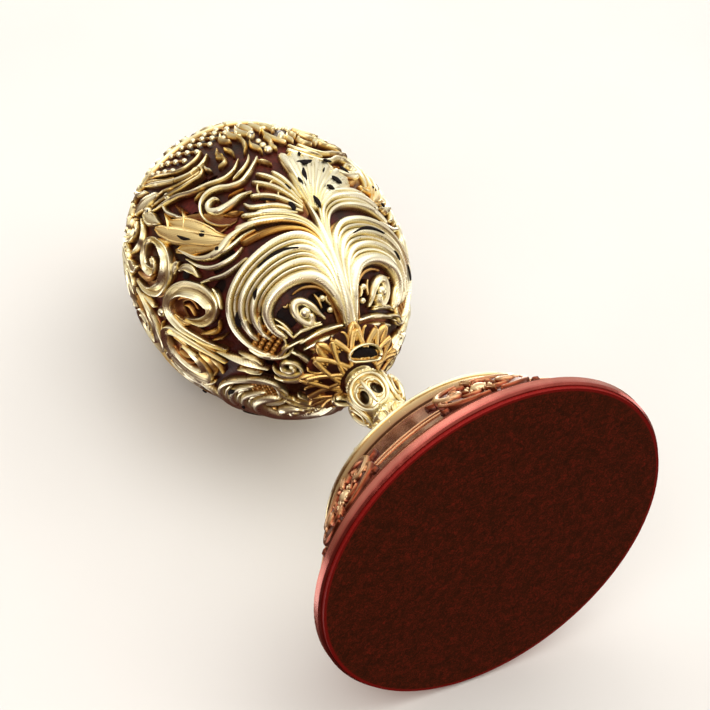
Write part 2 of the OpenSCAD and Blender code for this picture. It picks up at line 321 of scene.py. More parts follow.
def bead(M, surf, a, z, r, h=None, lift=0.0, nseg=14, tone=1.0):
    """A small domed boss; tone scales its relief attribute, so a tone below 1 is painted shade."""
    s = float(surf.s_of(z))
    c, N = surf.pos(a, s), surf.normal(a, s)
    ar = a * RAD
    X = np.array([-math.sin(ar), math.cos(ar), 0.0])
    Y = np.cross(N, X)
    h = r if h is None else h
    rings, hs = [], []
    for ph in (-0.35, 0.0, 0.35, 0.7, 1.05, 1.35):
        rad, up = (r, -0.3) if ph < 0 else (r * math.cos(ph), h * math.sin(ph))
        t = np.linspace(0, 2 * math.pi, nseg, endpoint=False)
        rings.append(c + rad * (np.cos(t)[:, None] * X + np.sin(t)[:, None] * Y) + (up + lift) * N)
        hs.append(np.full(nseg, np.clip((up + lift + 0.6) / 1.6, 0, 1.1) * tone))
    M.grid(np.array(rings), np.array(hs))


def loft(M, rings, hs):
    M.grid(np.asarray(rings, float), np.asarray(hs, float))


def sweep3d(M, pts, side, w, h, prof="round", step=0.4, caps=(0.6, 0.6), back=0.4):
    """A scroll bracket in space: pts (n, 3) in mm, side is the fixed width direction."""
    p = catmull(np.asarray(pts, float), step)
    n = len(p)
    T = np.gradient(p, axis=0)
    T /= np.linalg.norm(T, axis=1, keepdims=True)
    B = np.tile(np.asarray(side, float), (n, 1))
    B -= (B * T).sum(1, keepdims=True) * T
    B /= np.linalg.norm(B, axis=1, keepdims=True)
    N = np.cross(T, B)
    L = np.linalg.norm(np.diff(p, axis=0), axis=1).sum()
    e = ends(n, L, *caps)
    W, H = along(n, w) * e / 2, along(n, h) * (0.3 + 0.7 * e)
    pr = np.array(PROFILES[prof])
    u = np.concatenate([pr[:, 0], -pr[:, 0] * 0.92])
    g = np.concatenate([pr[:, 1], -back * pr[:, 1]])
    rings = p[:, None] + B[:, None] * (W[:, None] * u[None])[..., None] + N[:, None] * (H[:, None] * g[None])[..., None]
    # the back of the sweep gets lower relief, so gilt() paints its underside darker: painted shade
    M.grid(rings, np.clip(0.7 + 0.4 * g[None] + 0 * H[:, None], 0, 1.1))


def lathe(name, pts, seg=256, closed=True, smooth=35.0):
    """Solid of revolution from an outline (r, z) in mm. The outline is closed on itself."""
    p = np.asarray(pts, float)
    on_axis = p[:, 0] < 1e-6
    me = bpy.data.meshes.new(name)
    t = np.linspace(0, 2 * math.pi, seg, endpoint=False)
    v, idx = [], []
    for i, (r, z) in enumerate(p):
        if on_axis[i]:
            idx.append([len(v)] * seg)
            v.append((0, 0, z))
        else:
            idx.append(list(range(len(v), len(v) + seg)))
            v.extend(zip(r * np.cos(t), r * np.sin(t), np.full(seg, z)))
    f = []
    m = len(p)
    for i in range(m if closed else m - 1):
        a, b = idx[i], idx[(i + 1) % m]
        if on_axis[i] and on_axis[(i + 1) % m]:
            continue
        for j in range(seg):
            k = (j + 1) % seg
            q = [a[j], a[k], b[k], b[j]]
            q = list(dict.fromkeys(q))
            if len(q) >= 3:
                f.append(tuple(q))
    me.from_pydata(np.array(v) * MM, [], f)
    bm = bmesh.new()
    bm.from_mesh(me)
    bmesh.ops.recalc_face_normals(bm, faces=bm.faces)
    bm.to_mesh(me)
    bm.free()
    o = bpy.data.objects.new(name, me)
    bpy.context.scene.collection.objects.link(o)
    me.shade_smooth()
    me.set_sharp_from_angle(angle=math.radians(smooth))
    return o


def pierced(name, surf, s0, s1, na, ns, hole, t0, t1, rel=None):
    """A thin shell of revolution with openings. hole(bearing, s) is below 0 inside an opening (about in mm)."""
    A = np.arange(na) * 360.0 / na
    S = np.linspace(s0, s1, ns + 1)
    ga, gs = np.meshgrid(A, S, indexing="ij")
    ga, gs = ga.copy(), gs.copy()
    ca = (ga[:, :-1] + 180.0 / na)
    cs = (gs[:, :-1] + gs[:, 1:]) / 2
    keep = hole(ca, cs) > 0
    used = np.zeros(ga.shape, int)
    for di in (0, 1):
        for dj in (0, 1):
            used[:, dj:ns + dj] += np.roll(keep, di, axis=0)[:, :]
    edge = (used > 0) & (used < 4)
    edge[:, 0] = edge[:, -1] = False
    for _ in range(3):
        f = hole(ga, gs)
        e = 0.05
        k = surf.r(gs) * RAD
        fx = (hole(ga + e / k, gs) - hole(ga - e / k, gs)) / (2 * e)
        fy = (hole(ga, gs + e) - hole(ga, gs - e)) / (2 * e)
        g2 = np.maximum(fx ** 2 + fy ** 2, 0.05)
        mv = np.where(edge & (np.abs(f) < 0.8), 1.0, 0.0)
        ga -= mv * f * fx / g2 / k
        gs -= mv * f * fy / g2
    top = surf.pos(ga, gs, t0)
    bot = surf.pos(ga, gs, t1)
    n0 = na * (ns + 1)
    ix = lambda i, j: (i % na) * (ns + 1) + j
    f = []
    K = keep
    for i in range(na):
        for j in range(ns):
            if not K[i, j]:
                continue
            a, b, c, d = ix(i, j), ix(i + 1, j), ix(i + 1, j + 1), ix(i, j + 1)
            f.append((a, b, c, d))
            f.append((d + n0, c + n0, b + n0, a + n0))
            if not K[(i - 1) % na, j]:
                f.append((d, d + n0, a + n0, a)[::-1])
            if not K[(i + 1) % na, j]:
                f.append((b, b + n0, c + n0, c)[::-1])
            if j == 0 or not K[i, j - 1]:
                f.append((a, a + n0, b + n0, b)[::-1])
            if j == ns - 1 or not K[i, j + 1]:
                f.append((c, c + n0, d + n0, d)[::-1])
    me = bpy.data.meshes.new(name)
    v = np.vstack([top.reshape(-1, 3), bot.reshape(-1, 3)]) * MM
    me.from_pydata(v, [], f)
    if rel is not None:
        at = me.attributes.new("relief", "FLOAT", "POINT")
        r = rel(ga, gs).reshape(-1)
        # the inner face gets 0.3 of the relief: painted shade inside the shell
        at.data.foreach_set("value", np.concatenate([r, r * 0.3]).astype(np.float32))
    bm = bmesh.new()
    bm.from_mesh(me)
    bmesh.ops.delete(bm, geom=[x for x in bm.verts if not x.link_faces], context="VERTS")
    bmesh.ops.recalc_face_normals(bm, faces=bm.faces)
    bm.to_mesh(me)
    bm.free()
    o = bpy.data.objects.new(name, me)
    bpy.context.scene.collection.objects.link(o)
    me.shade_smooth()
    me.set_sharp_from_angle(angle=math.radians(50))
    return o


def cut_at(o, z, keep_above):
    """Keeps one side of a level plane and closes the cut."""
    bm = bmesh.new()
    bm.from_mesh(o.data)
    r = bmesh.ops.bisect_plane(bm, geom=bm.verts[:] + bm.edges[:] + bm.faces[:], dist=1e-7,
                               plane_co=(0, 0, z * MM), plane_no=(0, 0, -1 if keep_above else 1),
                               clear_outer=True)
    edges = [e for e in r["geom_cut"] if isinstance(e, bmesh.types.BMEdge)]
    bmesh.ops.holes_fill(bm, edges=[e for e in edges if e.is_valid], sides=0)
    bm.to_mesh(o.data)
    bm.free()
    o.data.shade_smooth()
    o.data.set_sharp_from_angle(angle=math.radians(42))


# ------------------------------------------------------------------ materials
def shader(name):
    m = bpy.data.materials.new(name)
    m.use_nodes = True
    nt = m.node_tree
    nt.nodes.clear()
    out = nt.nodes.new("ShaderNodeOutputMaterial")
    b = nt.nodes.new("ShaderNodeBsdfPrincipled")
    nt.links.new(b.outputs[0], out.inputs[0])
    return m, nt, b


def node(nt, kind, **kw):
    n = nt.nodes.new(kind)
    for k, v in kw.items():
        if k in n.inputs:
            n.inputs[k].default_value = v
        else:
            setattr(n, k, v)
    return n


def link(nt, a, b):
    nt.links.new(a, b)


def ramp(nt, fac, stops, interp="LINEAR"):
    r = nt.nodes.new("ShaderNodeValToRGB")
    r.color_ramp.interpolation = interp
    el = r.color_ramp.elements
    while len(el) < len(stops):
        el.new(0.5)
    for e, (p, c) in zip(el, stops):
        e.position = p
        e.color = (*c, 1) if len(c) == 3 else c
    nt.links.new(fac, r.inputs["Fac"])
    return r.outputs["Color"]


def val(nt, fac, a, b, lo=0.0, hi=1.0):
    r = node(nt, "ShaderNodeMapRange")
    r.inputs["From Min"].default_value, r.inputs["From Max"].default_value = lo, hi
    r.inputs["To Min"].default_value, r.inputs["To Max"].default_value = a, b
    nt.links.new(fac, r.inputs["Value"])
    return r.outputs["Result"]


def math_(nt, op, a, b=None, c=None):
    n = nt.nodes.new("ShaderNodeMath")
    n.operation = op
    for i, x in enumerate((a, b, c)):
        if x is None:
            continue
        if isinstance(x, (int, float)):
            n.inputs[i].default_value = x
        else:
            nt.links.new(x, n.inputs[i])
    return n.outputs[0]


def mixc(nt, fac, a, b, mode="MIX"):
    n = nt.nodes.new("ShaderNodeMix")
    n.data_type = "RGBA"
    n.blend_type = mode
    for sock, x in ((n.inputs["Factor"], fac), (n.inputs["A"], a), (n.inputs["B"], b)):
        if isinstance(x, (int, float)):
            sock.default_value = x
        elif isinstance(x, tuple):
            sock.default_value = (*x, 1)
        else:
            nt.links.new(x, sock)
    return n.outputs["Result"]


def tex(nt, kind, scale, coord=None, **kw):
    n = nt.nodes.new(kind)
    n.inputs["Scale"].default_value = scale
    for k, v in kw.items():
        if k in n.inputs:
            n.inputs[k].default_value = v
        else:
            setattr(n, k, v)
    if coord is not None:
        nt.links.new(coord, n.inputs["Vector"])
    return n


def coords(nt):
    return nt.nodes.new("ShaderNodeTexCoord").outputs["Object"]


def bump_chain(nt, b, parts):
    """parts: (height output, strength, distance in metres)"""
    last = None
    for h, st, dist in parts:
        n = nt.nodes.new("ShaderNodeBump")
        n.inputs["Strength"].default_value = st
        n.inputs["Distance"].default_value = dist
        nt.links.new(h, n.inputs["Height"])
        if last is not None:
            nt.links.new(last, n.inputs["Normal"])
        last = n.outputs["Normal"]
    nt.links.new(last, b.inputs["Normal"])


GOLD_HI, GOLD, GOLD_LO = (0.98, 0.93, 0.68), (0.93, 0.81, 0.45), (0.60, 0.38, 0.13)
# painted shade colours for the low places of the ornament
RECESS_SHADE, DEEP_SHADE = (0.16, 0.035, 0.013), (0.035, 0.007, 0.003)


def gilt(name, relief=True, hi=GOLD_HI, mid=GOLD, lo=GOLD_LO, rough=(0.25, 0.36), barbs=0.0, lines=0.45):
    """Polished fire gilding over cast ornament, with painted shade that is darker and redder in the low places and a
    painted highlight that is paler on the tops, both read from the relief attribute.
    """
    m, nt, b = shader(name)
    co = coords(nt)
    n1 = tex(nt, "ShaderNodeTexNoise", 420.0, co, Detail=5.0, Roughness=0.55)
    n2 = tex(nt, "ShaderNodeTexNoise", 60.0, co, Detail=2.0)
    n3 = tex(nt, "ShaderNodeTexNoise", 2600.0, co, Detail=2.0)
    if relief:
        at = nt.nodes.new("ShaderNodeAttribute")
        at.attribute_name = "relief"
        # relief drives painted shade in the low places and a painted highlight on the tops; the metal also falls in the
        # low places
        f = math_(nt, "ADD", at.outputs["Fac"], math_(nt, "MULTIPLY", math_(nt, "SUBTRACT", n1.outputs["Fac"], 0.5), 0.22))
        col = ramp(nt, f, [(0.0, DEEP_SHADE), (0.2, RECESS_SHADE), (0.4, lo), (0.62, mid), (0.95, hi)])
        metal = val(nt, f, 0.55, 1.0, 0.05, 0.35)
        b.inputs["Metallic"].default_value = 1.0
        link(nt, metal, b.inputs["Metallic"])
    else:
        f = math_(nt, "ADD", 0.72, math_(nt, "MULTIPLY", math_(nt, "SUBTRACT", n1.outputs["Fac"], 0.5), 0.5))
        col = ramp(nt, f, [(0.2, lo), (0.6, mid), (1.0, hi)])
        b.inputs["Metallic"].default_value = 1.0
    tone = ramp(nt, n2.outputs["Fac"], [(0.3, (0.90, 0.86, 0.78)), (0.7, (1.0, 1.0, 1.0))])
    col = mixc(nt, 1.0, col, tone, "MULTIPLY")
    parts = [(n2.outputs["Fac"], 0.35, 0.0006), (n1.outputs["Fac"], 0.22, 0.00012), (n3.outputs["Fac"], 0.12, 0.00003)]
    if relief:
        # chased lines: barbs that run out from the middle of each strand, and fine lines along it
        run, span = nt.nodes.new("ShaderNodeAttribute"), nt.nodes.new("ShaderNodeAttribute")
        run.attribute_name, span.attribute_name = "run", "span"
        side = math_(nt, "ABSOLUTE", span.outputs["Fac"])
        barb = math_(nt, "PINGPONG", math_(nt, "SUBTRACT", run.outputs["Fac"], math_(nt, "MULTIPLY", side, 0.9)), 0.42)
        line = math_(nt, "PINGPONG", span.outputs["Fac"], 0.24)
        off_mid = val(nt, side, 0.0, 1.0, 0.12, 0.4)
        has_run = val(nt, run.outputs["Fac"], 0.0, 1.0, 0.0, 0.6)
        cut = math_(nt, "MULTIPLY", val(nt, barb, 1.0, 0.0, 0.0, 0.16), math_(nt, "MULTIPLY", off_mid, has_run))
        cut2 = math_(nt, "MULTIPLY", val(nt, line, 1.0, 0.0, 0.0, 0.1), has_run)
        groove = math_(nt, "MAXIMUM", math_(nt, "MULTIPLY", cut, barbs), math_(nt, "MULTIPLY", cut2, lines))
        col = mixc(nt, math_(nt, "MULTIPLY", groove, 0.55), col, lo)
        parts.append((math_(nt, "SUBTRACT", 1.0, groove), 0.55, 0.00009))
    link(nt, col, b.inputs["Base Color"])
    r = math_(nt, "ADD", val(nt, n1.outputs["Fac"], rough[0], rough[1], 0.3, 0.7), val(nt, n3.outputs["Fac"], -0.02, 0.04, 0.3, 0.7))
    link(nt, r, b.inputs["Roughness"])
    bump_chain(nt, b, parts)
    return m


def shade_ground(name, dark, mid, light, rough=0.34, stipple=0.5, metallic=0.1, coat=0.03, patches=0.85):
    """Dark red ground with fine matting marks under it: its darkness is painted shade and its red, with red-brown
    patches in two height bands, a painted reflection.
    """
    m, nt, b = shader(name)
    co = coords(nt)
    n1 = tex(nt, "ShaderNodeTexNoise", 150.0, co, Detail=4.0)
    v = tex(nt, "ShaderNodeTexVoronoi", 1500.0, co)
    n3 = tex(nt, "ShaderNodeTexNoise", 1200.0, co, Detail=3.0)
    f = math_(nt, "ADD", math_(nt, "MULTIPLY", n1.outputs["Fac"], 0.7), math_(nt, "MULTIPLY", n3.outputs["Fac"], 0.3))
    col = ramp(nt, f, [(0.32, dark), (0.52, mid), (0.72, light)])
    n4 = tex(nt, "ShaderNodeTexNoise", 75.0, co, Detail=2.0)
    red = ramp(nt, f, [(0.3, (0.04, 0.003, 0.002)), (0.55, (0.12, 0.009, 0.007)), (0.75, (0.22, 0.028, 0.016))])
    r_, z_ = radius_of(nt, co)
    zone = math_(nt, "MULTIPLY", val(nt, z_, 0.0, 1.0, 0.089, 0.095), val(nt, z_, 1.0, 0.0, 0.126, 0.136))
    low = math_(nt, "MULTIPLY", val(nt, z_, 1.0, 0.0, 0.083, 0.087), val(nt, r_, 0.0, 1.0, 0.0165, 0.0185))
    patch = math_(nt, "MULTIPLY", val(nt, n4.outputs["Fac"], 0.0, patches, 0.38, 0.68), math_(nt, "MAXIMUM", zone, math_(nt, "MULTIPLY", low, 0.3)))
    link(nt, mixc(nt, patch, col, red), b.inputs["Base Color"])
    b.inputs["Specular IOR Level"].default_value = 0.17
    b.inputs["Metallic"].default_value = metallic
    link(nt, val(nt, n3.outputs["Fac"], rough, rough + 0.18, 0.3, 0.7), b.inputs["Roughness"])
    b.inputs["Coat Weight"].default_value = coat
    b.inputs["Coat Roughness"].default_value = 0.12
    bump_chain(nt, b, [(v.outputs["Distance"], stipple, 0.00012), (n1.outputs["Fac"], 0.3, 0.0003)])
    return m


def steel(name):
    m, nt, b = shader(name)
    co = coords(nt)
    mp = nt.nodes.new("ShaderNodeMapping")
    mp.inputs["Scale"].default_value = (1, 1, 14)
    link(nt, co, mp.inputs["Vector"])
    n = tex(nt, "ShaderNodeTexNoise", 500.0, mp.outputs["Vector"], Detail=4.0)
    link(nt, ramp(nt, n.outputs["Fac"], [(0.3, (0.30, 0.30, 0.31)), (0.7, (0.62, 0.61, 0.60))]), b.inputs["Base Color"])
    b.inputs["Metallic"].default_value = 1.0
    link(nt, val(nt, n.outputs["Fac"], 0.22, 0.42, 0.3, 0.7), b.inputs["Roughness"])
    bump_chain(nt, b, [(n.outputs["Fac"], 0.2, 0.00005)])
    return m


def radius_of(nt, co):
    sx = nt.nodes.new("ShaderNodeSeparateXYZ")
    link(nt, co, sx.inputs[0])
    r = math_(nt, "SQRT", math_(nt, "ADD", math_(nt, "MULTIPLY", sx.outputs[0], sx.outputs[0]),
                                 math_(nt, "MULTIPLY", sx.outputs[1], sx.outputs[1])))
    return r, sx.outputs[2]


def felt():
    m, nt, b = shader("felt_burgundy")
    co = coords(nt)
    n1 = tex(nt, "ShaderNodeTexNoise", 2200.0, co, Detail=6.0, Roughness=0.7)
    n2 = tex(nt, "ShaderNodeTexNoise", 180.0, co, Detail=3.0)
    n3 = tex(nt, "ShaderNodeTexNoise", 900.0, co, Detail=3.0, Distortion=1.5)
    f = math_(nt, "ADD", math_(nt, "MULTIPLY", n1.outputs["Fac"], 0.5), math_(nt, "MULTIPLY", n3.outputs["Fac"], 0.5))
    col = ramp(nt, f, [(0.3, (0.018, 0.0055, 0.0005)), (0.5, (0.066, 0.0115, 0.0025)), (0.72, (0.24, 0.02, 0.009))])
    n5 = tex(nt, "ShaderNodeTexNoise", 420.0, co, Detail=3.0, Roughness=0.6)
    fleck = ramp(nt, n5.outputs["Fac"], [(0.36, (0.74, 0.82, 0.7)), (0.5, (1.0, 1.0, 1.0)), (0.66, (1.3, 1.1, 1.15))])
    tone = ramp(nt, n2.outputs["Fac"], [(0.35, (0.78, 0.9, 0.72)), (0.65, (1.1, 1.0, 1.05))])
    col = mixc(nt, 1.0, mixc(nt, 1.0, col, tone, "MULTIPLY"), fleck, "MULTIPLY")
    r, z = radius_of(nt, co)
    rim = val(nt, r, 0.0, 1.0, 0.0494, 0.0498)
    red = ramp(nt, n1.outputs["Fac"], [(0.3, (0.16, 0.004, 0.003)), (0.7, (0.32, 0.012, 0.01))])
    link(nt, mixc(nt, rim, col, red), b.inputs["Base Color"])
    link(nt, val(nt, rim, 0.95, 0.45), b.inputs["Roughness"])
    b.inputs["Sheen Weight"].default_value = 0.12
    b.inputs["Sheen Roughness"].default_value = 0.5
    b.inputs["Sheen Tint"].default_value = (0.7, 0.12, 0.06, 1)
    b.inputs["Specular IOR Level"].default_value = 0.1
    bump_chain(nt, b, [(n2.outputs["Fac"], 0.25, 0.0006), (f, 0.6, 0.00025)])
    return m


def liner_mat():
    """Gilt inside; the face that shows through the openwork is painted near black as shadow."""
    m, nt, b = shader("liner_gilt_painted_shadow_back")
    tc = nt.nodes.new("ShaderNodeTexCoord")
    co = tc.outputs["Object"]
    n1 = tex(nt, "ShaderNodeTexNoise", 300.0, co, Detail=4.0)
    sep = nt.nodes.new("ShaderNodeSeparateXYZ")
    link(nt, co, sep.inputs[0])
    flatv = nt.nodes.new("ShaderNodeCombineXYZ")
    link(nt, sep.outputs[0], flatv.inputs[0])
    link(nt, sep.outputs[1], flatv.inputs[1])
    off = math_(nt, "MULTIPLY", math_(nt, "SUBTRACT", sep.outputs[2], 0.118), 0.7)
    link(nt, off, flatv.inputs[2])
    dot = nt.nodes.new("ShaderNodeVectorMath")
    dot.operation = "DOT_PRODUCT"
    link(nt, flatv.outputs[0], dot.inputs[0])
    link(nt, tc.outputs["Normal"], dot.inputs[1])
    # outside: the outer face, painted near black as the shadow seen through the holes
    outside = val(nt, dot.outputs["Value"], 0.0, 1.0, -0.001, 0.001)
    gold = ramp(nt, n1.outputs["Fac"], [(0.3, GOLD_LO), (0.5, GOLD), (0.8, GOLD_HI)])
    dark = ramp(nt, n1.outputs["Fac"], [(0.3, (0.004, 0.001, 0.001)), (0.6, (0.012, 0.003, 0.002)), (0.8, (0.035, 0.006, 0.004))])
    link(nt, mixc(nt, outside, gold, dark), b.inputs["Base Color"])
    link(nt, val(nt, outside, 1.0, 0.0), b.inputs["Metallic"])
    b.inputs["Specular IOR Level"].default_value = 0.12
    link(nt, math_(nt, "ADD", val(nt, n1.outputs["Fac"], 0.1, 0.24, 0.3, 0.7), math_(nt, "MULTIPLY", outside, 0.35)), b.inputs["Roughness"])
    bump_chain(nt, b, [(n1.outputs["Fac"], 0.2, 0.0002)])
    return m


def ring_mat():
    """Rose gold lacquered finish of the base ring."""
    m, nt, b = shader("ring_rose_gold")
    co = coords(nt)
    n1 = tex(nt, "ShaderNodeTexNoise", 240.0, co, Detail=4.0)
    r, z = radius_of(nt, co)
    w = math_(nt, "ADD", z, math_(nt, "MULTIPLY", n1.outputs["Fac"], 0.0006))
    col = ramp(nt, val(nt, w, 0.0, 1.0, 0.001, 0.0045), [(0.0, (0.30, 0.03, 0.02)), (0.28, (0.50, 0.10, 0.075)), (0.5, (0.62, 0.19, 0.14)),
                                                          (0.85, (0.58, 0.17, 0.12)), (1.0, (0.36, 0.07, 0.05))])
    tone = ramp(nt, n1.outputs["Fac"], [(0.3, (0.86, 0.84, 0.82)), (0.7, (1, 1, 1))])
    link(nt, mixc(nt, 1.0, col, tone, "MULTIPLY"), b.inputs["Base Color"])
    b.inputs["Metallic"].default_value = 0.75
    link(nt, val(nt, n1.outputs["Fac"], 0.16, 0.3, 0.3, 0.7), b.inputs["Roughness"])
    b.inputs["Coat Weight"].default_value = 0.3
    b.inputs["Coat Roughness"].default_value = 0.15
    bump_chain(nt, b, [(n1.outputs["Fac"], 0.15, 0.0002)])
    return m


def foot_mat():
    """Gilt of the foot, warmer and redder, in turned bands that follow the height, with painted shade in the groove
    under the shoulder and a painted cream highlight on the shoulder.
    """
    m, nt, b = shader("foot_bands")
    co = coords(nt)
    n1 = tex(nt, "ShaderNodeTexNoise", 260.0, co, Detail=5.0, Roughness=0.6)
    n2 = tex(nt, "ShaderNodeTexNoise", 45.0, co, Detail=2.0)
    n3 = tex(nt, "ShaderNodeTexNoise", 1700.0, co, Detail=2.0)
    r, z = radius_of(nt, co)
    zz = math_(nt, "ADD", z, math_(nt, "MULTIPLY", math_(nt, "SUBTRACT", n1.outputs["Fac"], 0.5), 0.0004))
    f = val(nt, zz, 0.0, 1.0, 0.004, 0.036)
    k = lambda mm: (mm - 4.0) / 32.0
    brown, red = (0.25, 0.062, 0.032), (0.19, 0.018, 0.012)
    line = (0.76, 0.44, 0.25)
    # the dark stops from 22.6 to 23.7 mm are painted shade in the groove, and the rise to GOLD_HI from 24.2 to 30.8 mm
    # a painted highlight on the shoulder
    col = ramp(nt, f, [(k(4.2), (0.20, 0.04, 0.02)), (k(5.2), brown), (k(9.5), (0.22, 0.048, 0.026)), (k(9.8), line), (k(10.9), line),
                       (k(11.1), brown), (k(11.7), brown), (k(11.9), line), (k(12.9), line), (k(13.3), (0.25, 0.05, 0.028)),
                       (k(14.5), red), (k(21.4), (0.30, 0.04, 0.025)), (k(22.2), (0.62, 0.30, 0.14)), (k(22.6), (0.06, 0.012, 0.008)),
                       (k(23.7), (0.08, 0.016, 0.01)), (k(24.2), (0.42, 0.22, 0.10)), (k(25.8), (0.62, 0.43, 0.20)), (k(28.3), (0.90, 0.77, 0.46)), (k(30.8), GOLD_HI)])
    tone = ramp(nt, n2.outputs["Fac"], [(0.35, (0.80, 0.74, 0.70)), (0.65, (1.0, 1.0, 1.0))])
    link(nt, mixc(nt, 1.0, col, tone, "MULTIPLY"), b.inputs["Base Color"])
    # metallic falls over the shoulder, part of its painted cream highlight
    link(nt, val(nt, zz, 0.9, 0.55, 0.0218, 0.0245), b.inputs["Metallic"])
    link(nt, math_(nt, "ADD", val(nt, n1.outputs["Fac"], 0.12, 0.28, 0.3, 0.7), val(nt, n3.outputs["Fac"], -0.02, 0.05, 0.3, 0.7)), b.inputs["Roughness"])
    b.inputs["Coat Weight"].default_value = 0.1
    b.inputs["Coat Roughness"].default_value = 0.15
    bump_chain(nt, b, [(n2.outputs["Fac"], 0.25, 0.0006), (n1.outputs["Fac"], 0.2, 0.00012), (n3.outputs["Fac"], 0.12, 0.00003)])
    return m


GILT = gilt("gilt_relief")
# paler copy of the gilt for the palmette leaves: painted light
GILT_LEAF_LIT = gilt("gilt_leaf", hi=(0.99, 0.96, 0.75), mid=(0.95, 0.87, 0.57), lo=(0.72, 0.53, 0.24), barbs=0.75, lines=0.2)
GILT_PLAIN = gilt("gilt_turned", relief=False)
# darker, redder copy of the gilt for the foot cartouches: painted shade and a painted reflection of red surroundings
GILT_FOOT_SHADED = gilt("gilt_foot_relief", hi=(0.90, 0.68, 0.42), mid=(0.56, 0.27, 0.13), lo=(0.27, 0.055, 0.026))
# darker, redder copy of the gilt for strokes that lie in shade: painted shade
GILT_SHADED = gilt("gilt_painted_shade", hi=(0.98, 0.78, 0.38), mid=(0.86, 0.58, 0.20), lo=(0.42, 0.19, 0.05), barbs=0.3, lines=0.4)
# dark red ground between the ornament: painted shade and painted reflection
GROUND_MAT = shade_ground("ground_maroon", (0.008, 0.002, 0.001), (0.035, 0.007, 0.003), (0.13, 0.024, 0.010))
# near-black strips laid over the ornament where holes and gaps would lie in shadow: painted shadow
HOLE_SHADOW_MAT = shade_ground("pierced_shadow", (0.0015, 0.0005, 0.0004), (0.004, 0.0012, 0.0008), (0.010, 0.003, 0.002), rough=0.6, stipple=0.7, metallic=0.0, coat=0.0, patches=0.02)
STEEL, FELT, LINER, RING, FOOT = steel("bright_steel"), felt(), liner_mat(), ring_mat(), foot_mat()

# ------------------------------------------------------------------ egg ornament
PIECES = []


def place(o, mats, body, stands_for=()):
    o.data.materials.clear()
    for m in (mats if isinstance(mats, (list, tuple)) else [mats]):
        o.data.materials.append(m)
    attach(o, body)
    if stands_for:
        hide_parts(*stands_for)
    PIECES.append(o)
    return o


class Quad:
    """One quarter of the pattern: a is degrees from the palmette rib, z the height."""

    def __init__(self, surf, b0, sg):
        self.surf, self.b0, self.sg = surf, b0, sg

    def p(self, pts, end=None, start=None, step=STEP):
        q = np.array(pts, float)
        q[:, 0] = self.b0 + self.sg * q[:, 0]
        flip = lambda e: (e[0], e[1], e[2], e[3] * self.sg) if e else None
        return path_on(self.surf, q, step, flip(end), flip(start))

    def s(self, M, pts, w, h, prof="round", end=None, start=None, **kw):
        stroke(M, self.surf, self.p(pts, end, start), w, h, prof, **kw)

    def b(self, M, A, B, heights, prof="round", **kw):
        bundle(M, self.surf, self.p(A), self.p(B), heights, prof, **kw)

    def bead(self, M, a, z, r, **kw):
        bead(M, self.surf, self.b0 + self.sg * a, z, r, **kw)


QUADS = [(-90, -1), (-90, 1), (90, -1), (90, 1)]
# the darker gilt strokes collected here are painted shade, and the dark strips painted shadow
leaves, scrolls, eyes, waves, crown, under, shaded_strokes, hole_shadows = Mesh(), Mesh(), Mesh(), Mesh(), Mesh(), Mesh(), Mesh(), Mesh()

for b0 in (-90, 90):                          # once for each palmette
    q = Quad(EGG, b0, 1)
    q.s(leaves, [(0, 76.9), (0, 82), (0, 88), (0, 95), (0, 101), (0, 107.5)], [(0, 3.0), (0.15, 3.6), (0.45, 3.2), (0.75, 2.2), (1, 1.0)],
        [(0, 2.4), (0.3, 3.3), (0.8, 2.8), (1, 2.2)], "round")
    q.s(leaves, [(0, 106), (0, 110), (0, 114), (0, 118.5)], [(0, 1.2), (0.5, 2.0), (1, 0.8)], [(0, 2.2), (0.6, 2.4), (1, 1.7)], "ridge", tone=0.92)
    bead(scrolls, EGG, b0, 129.6, 1.25, lift=1.0)
    bead(scrolls, EGG, b0, 132.6, 1.0, lift=0.8)
    bead(scrolls, EGG, b0, 135.2, 0.85, lift=0.8)

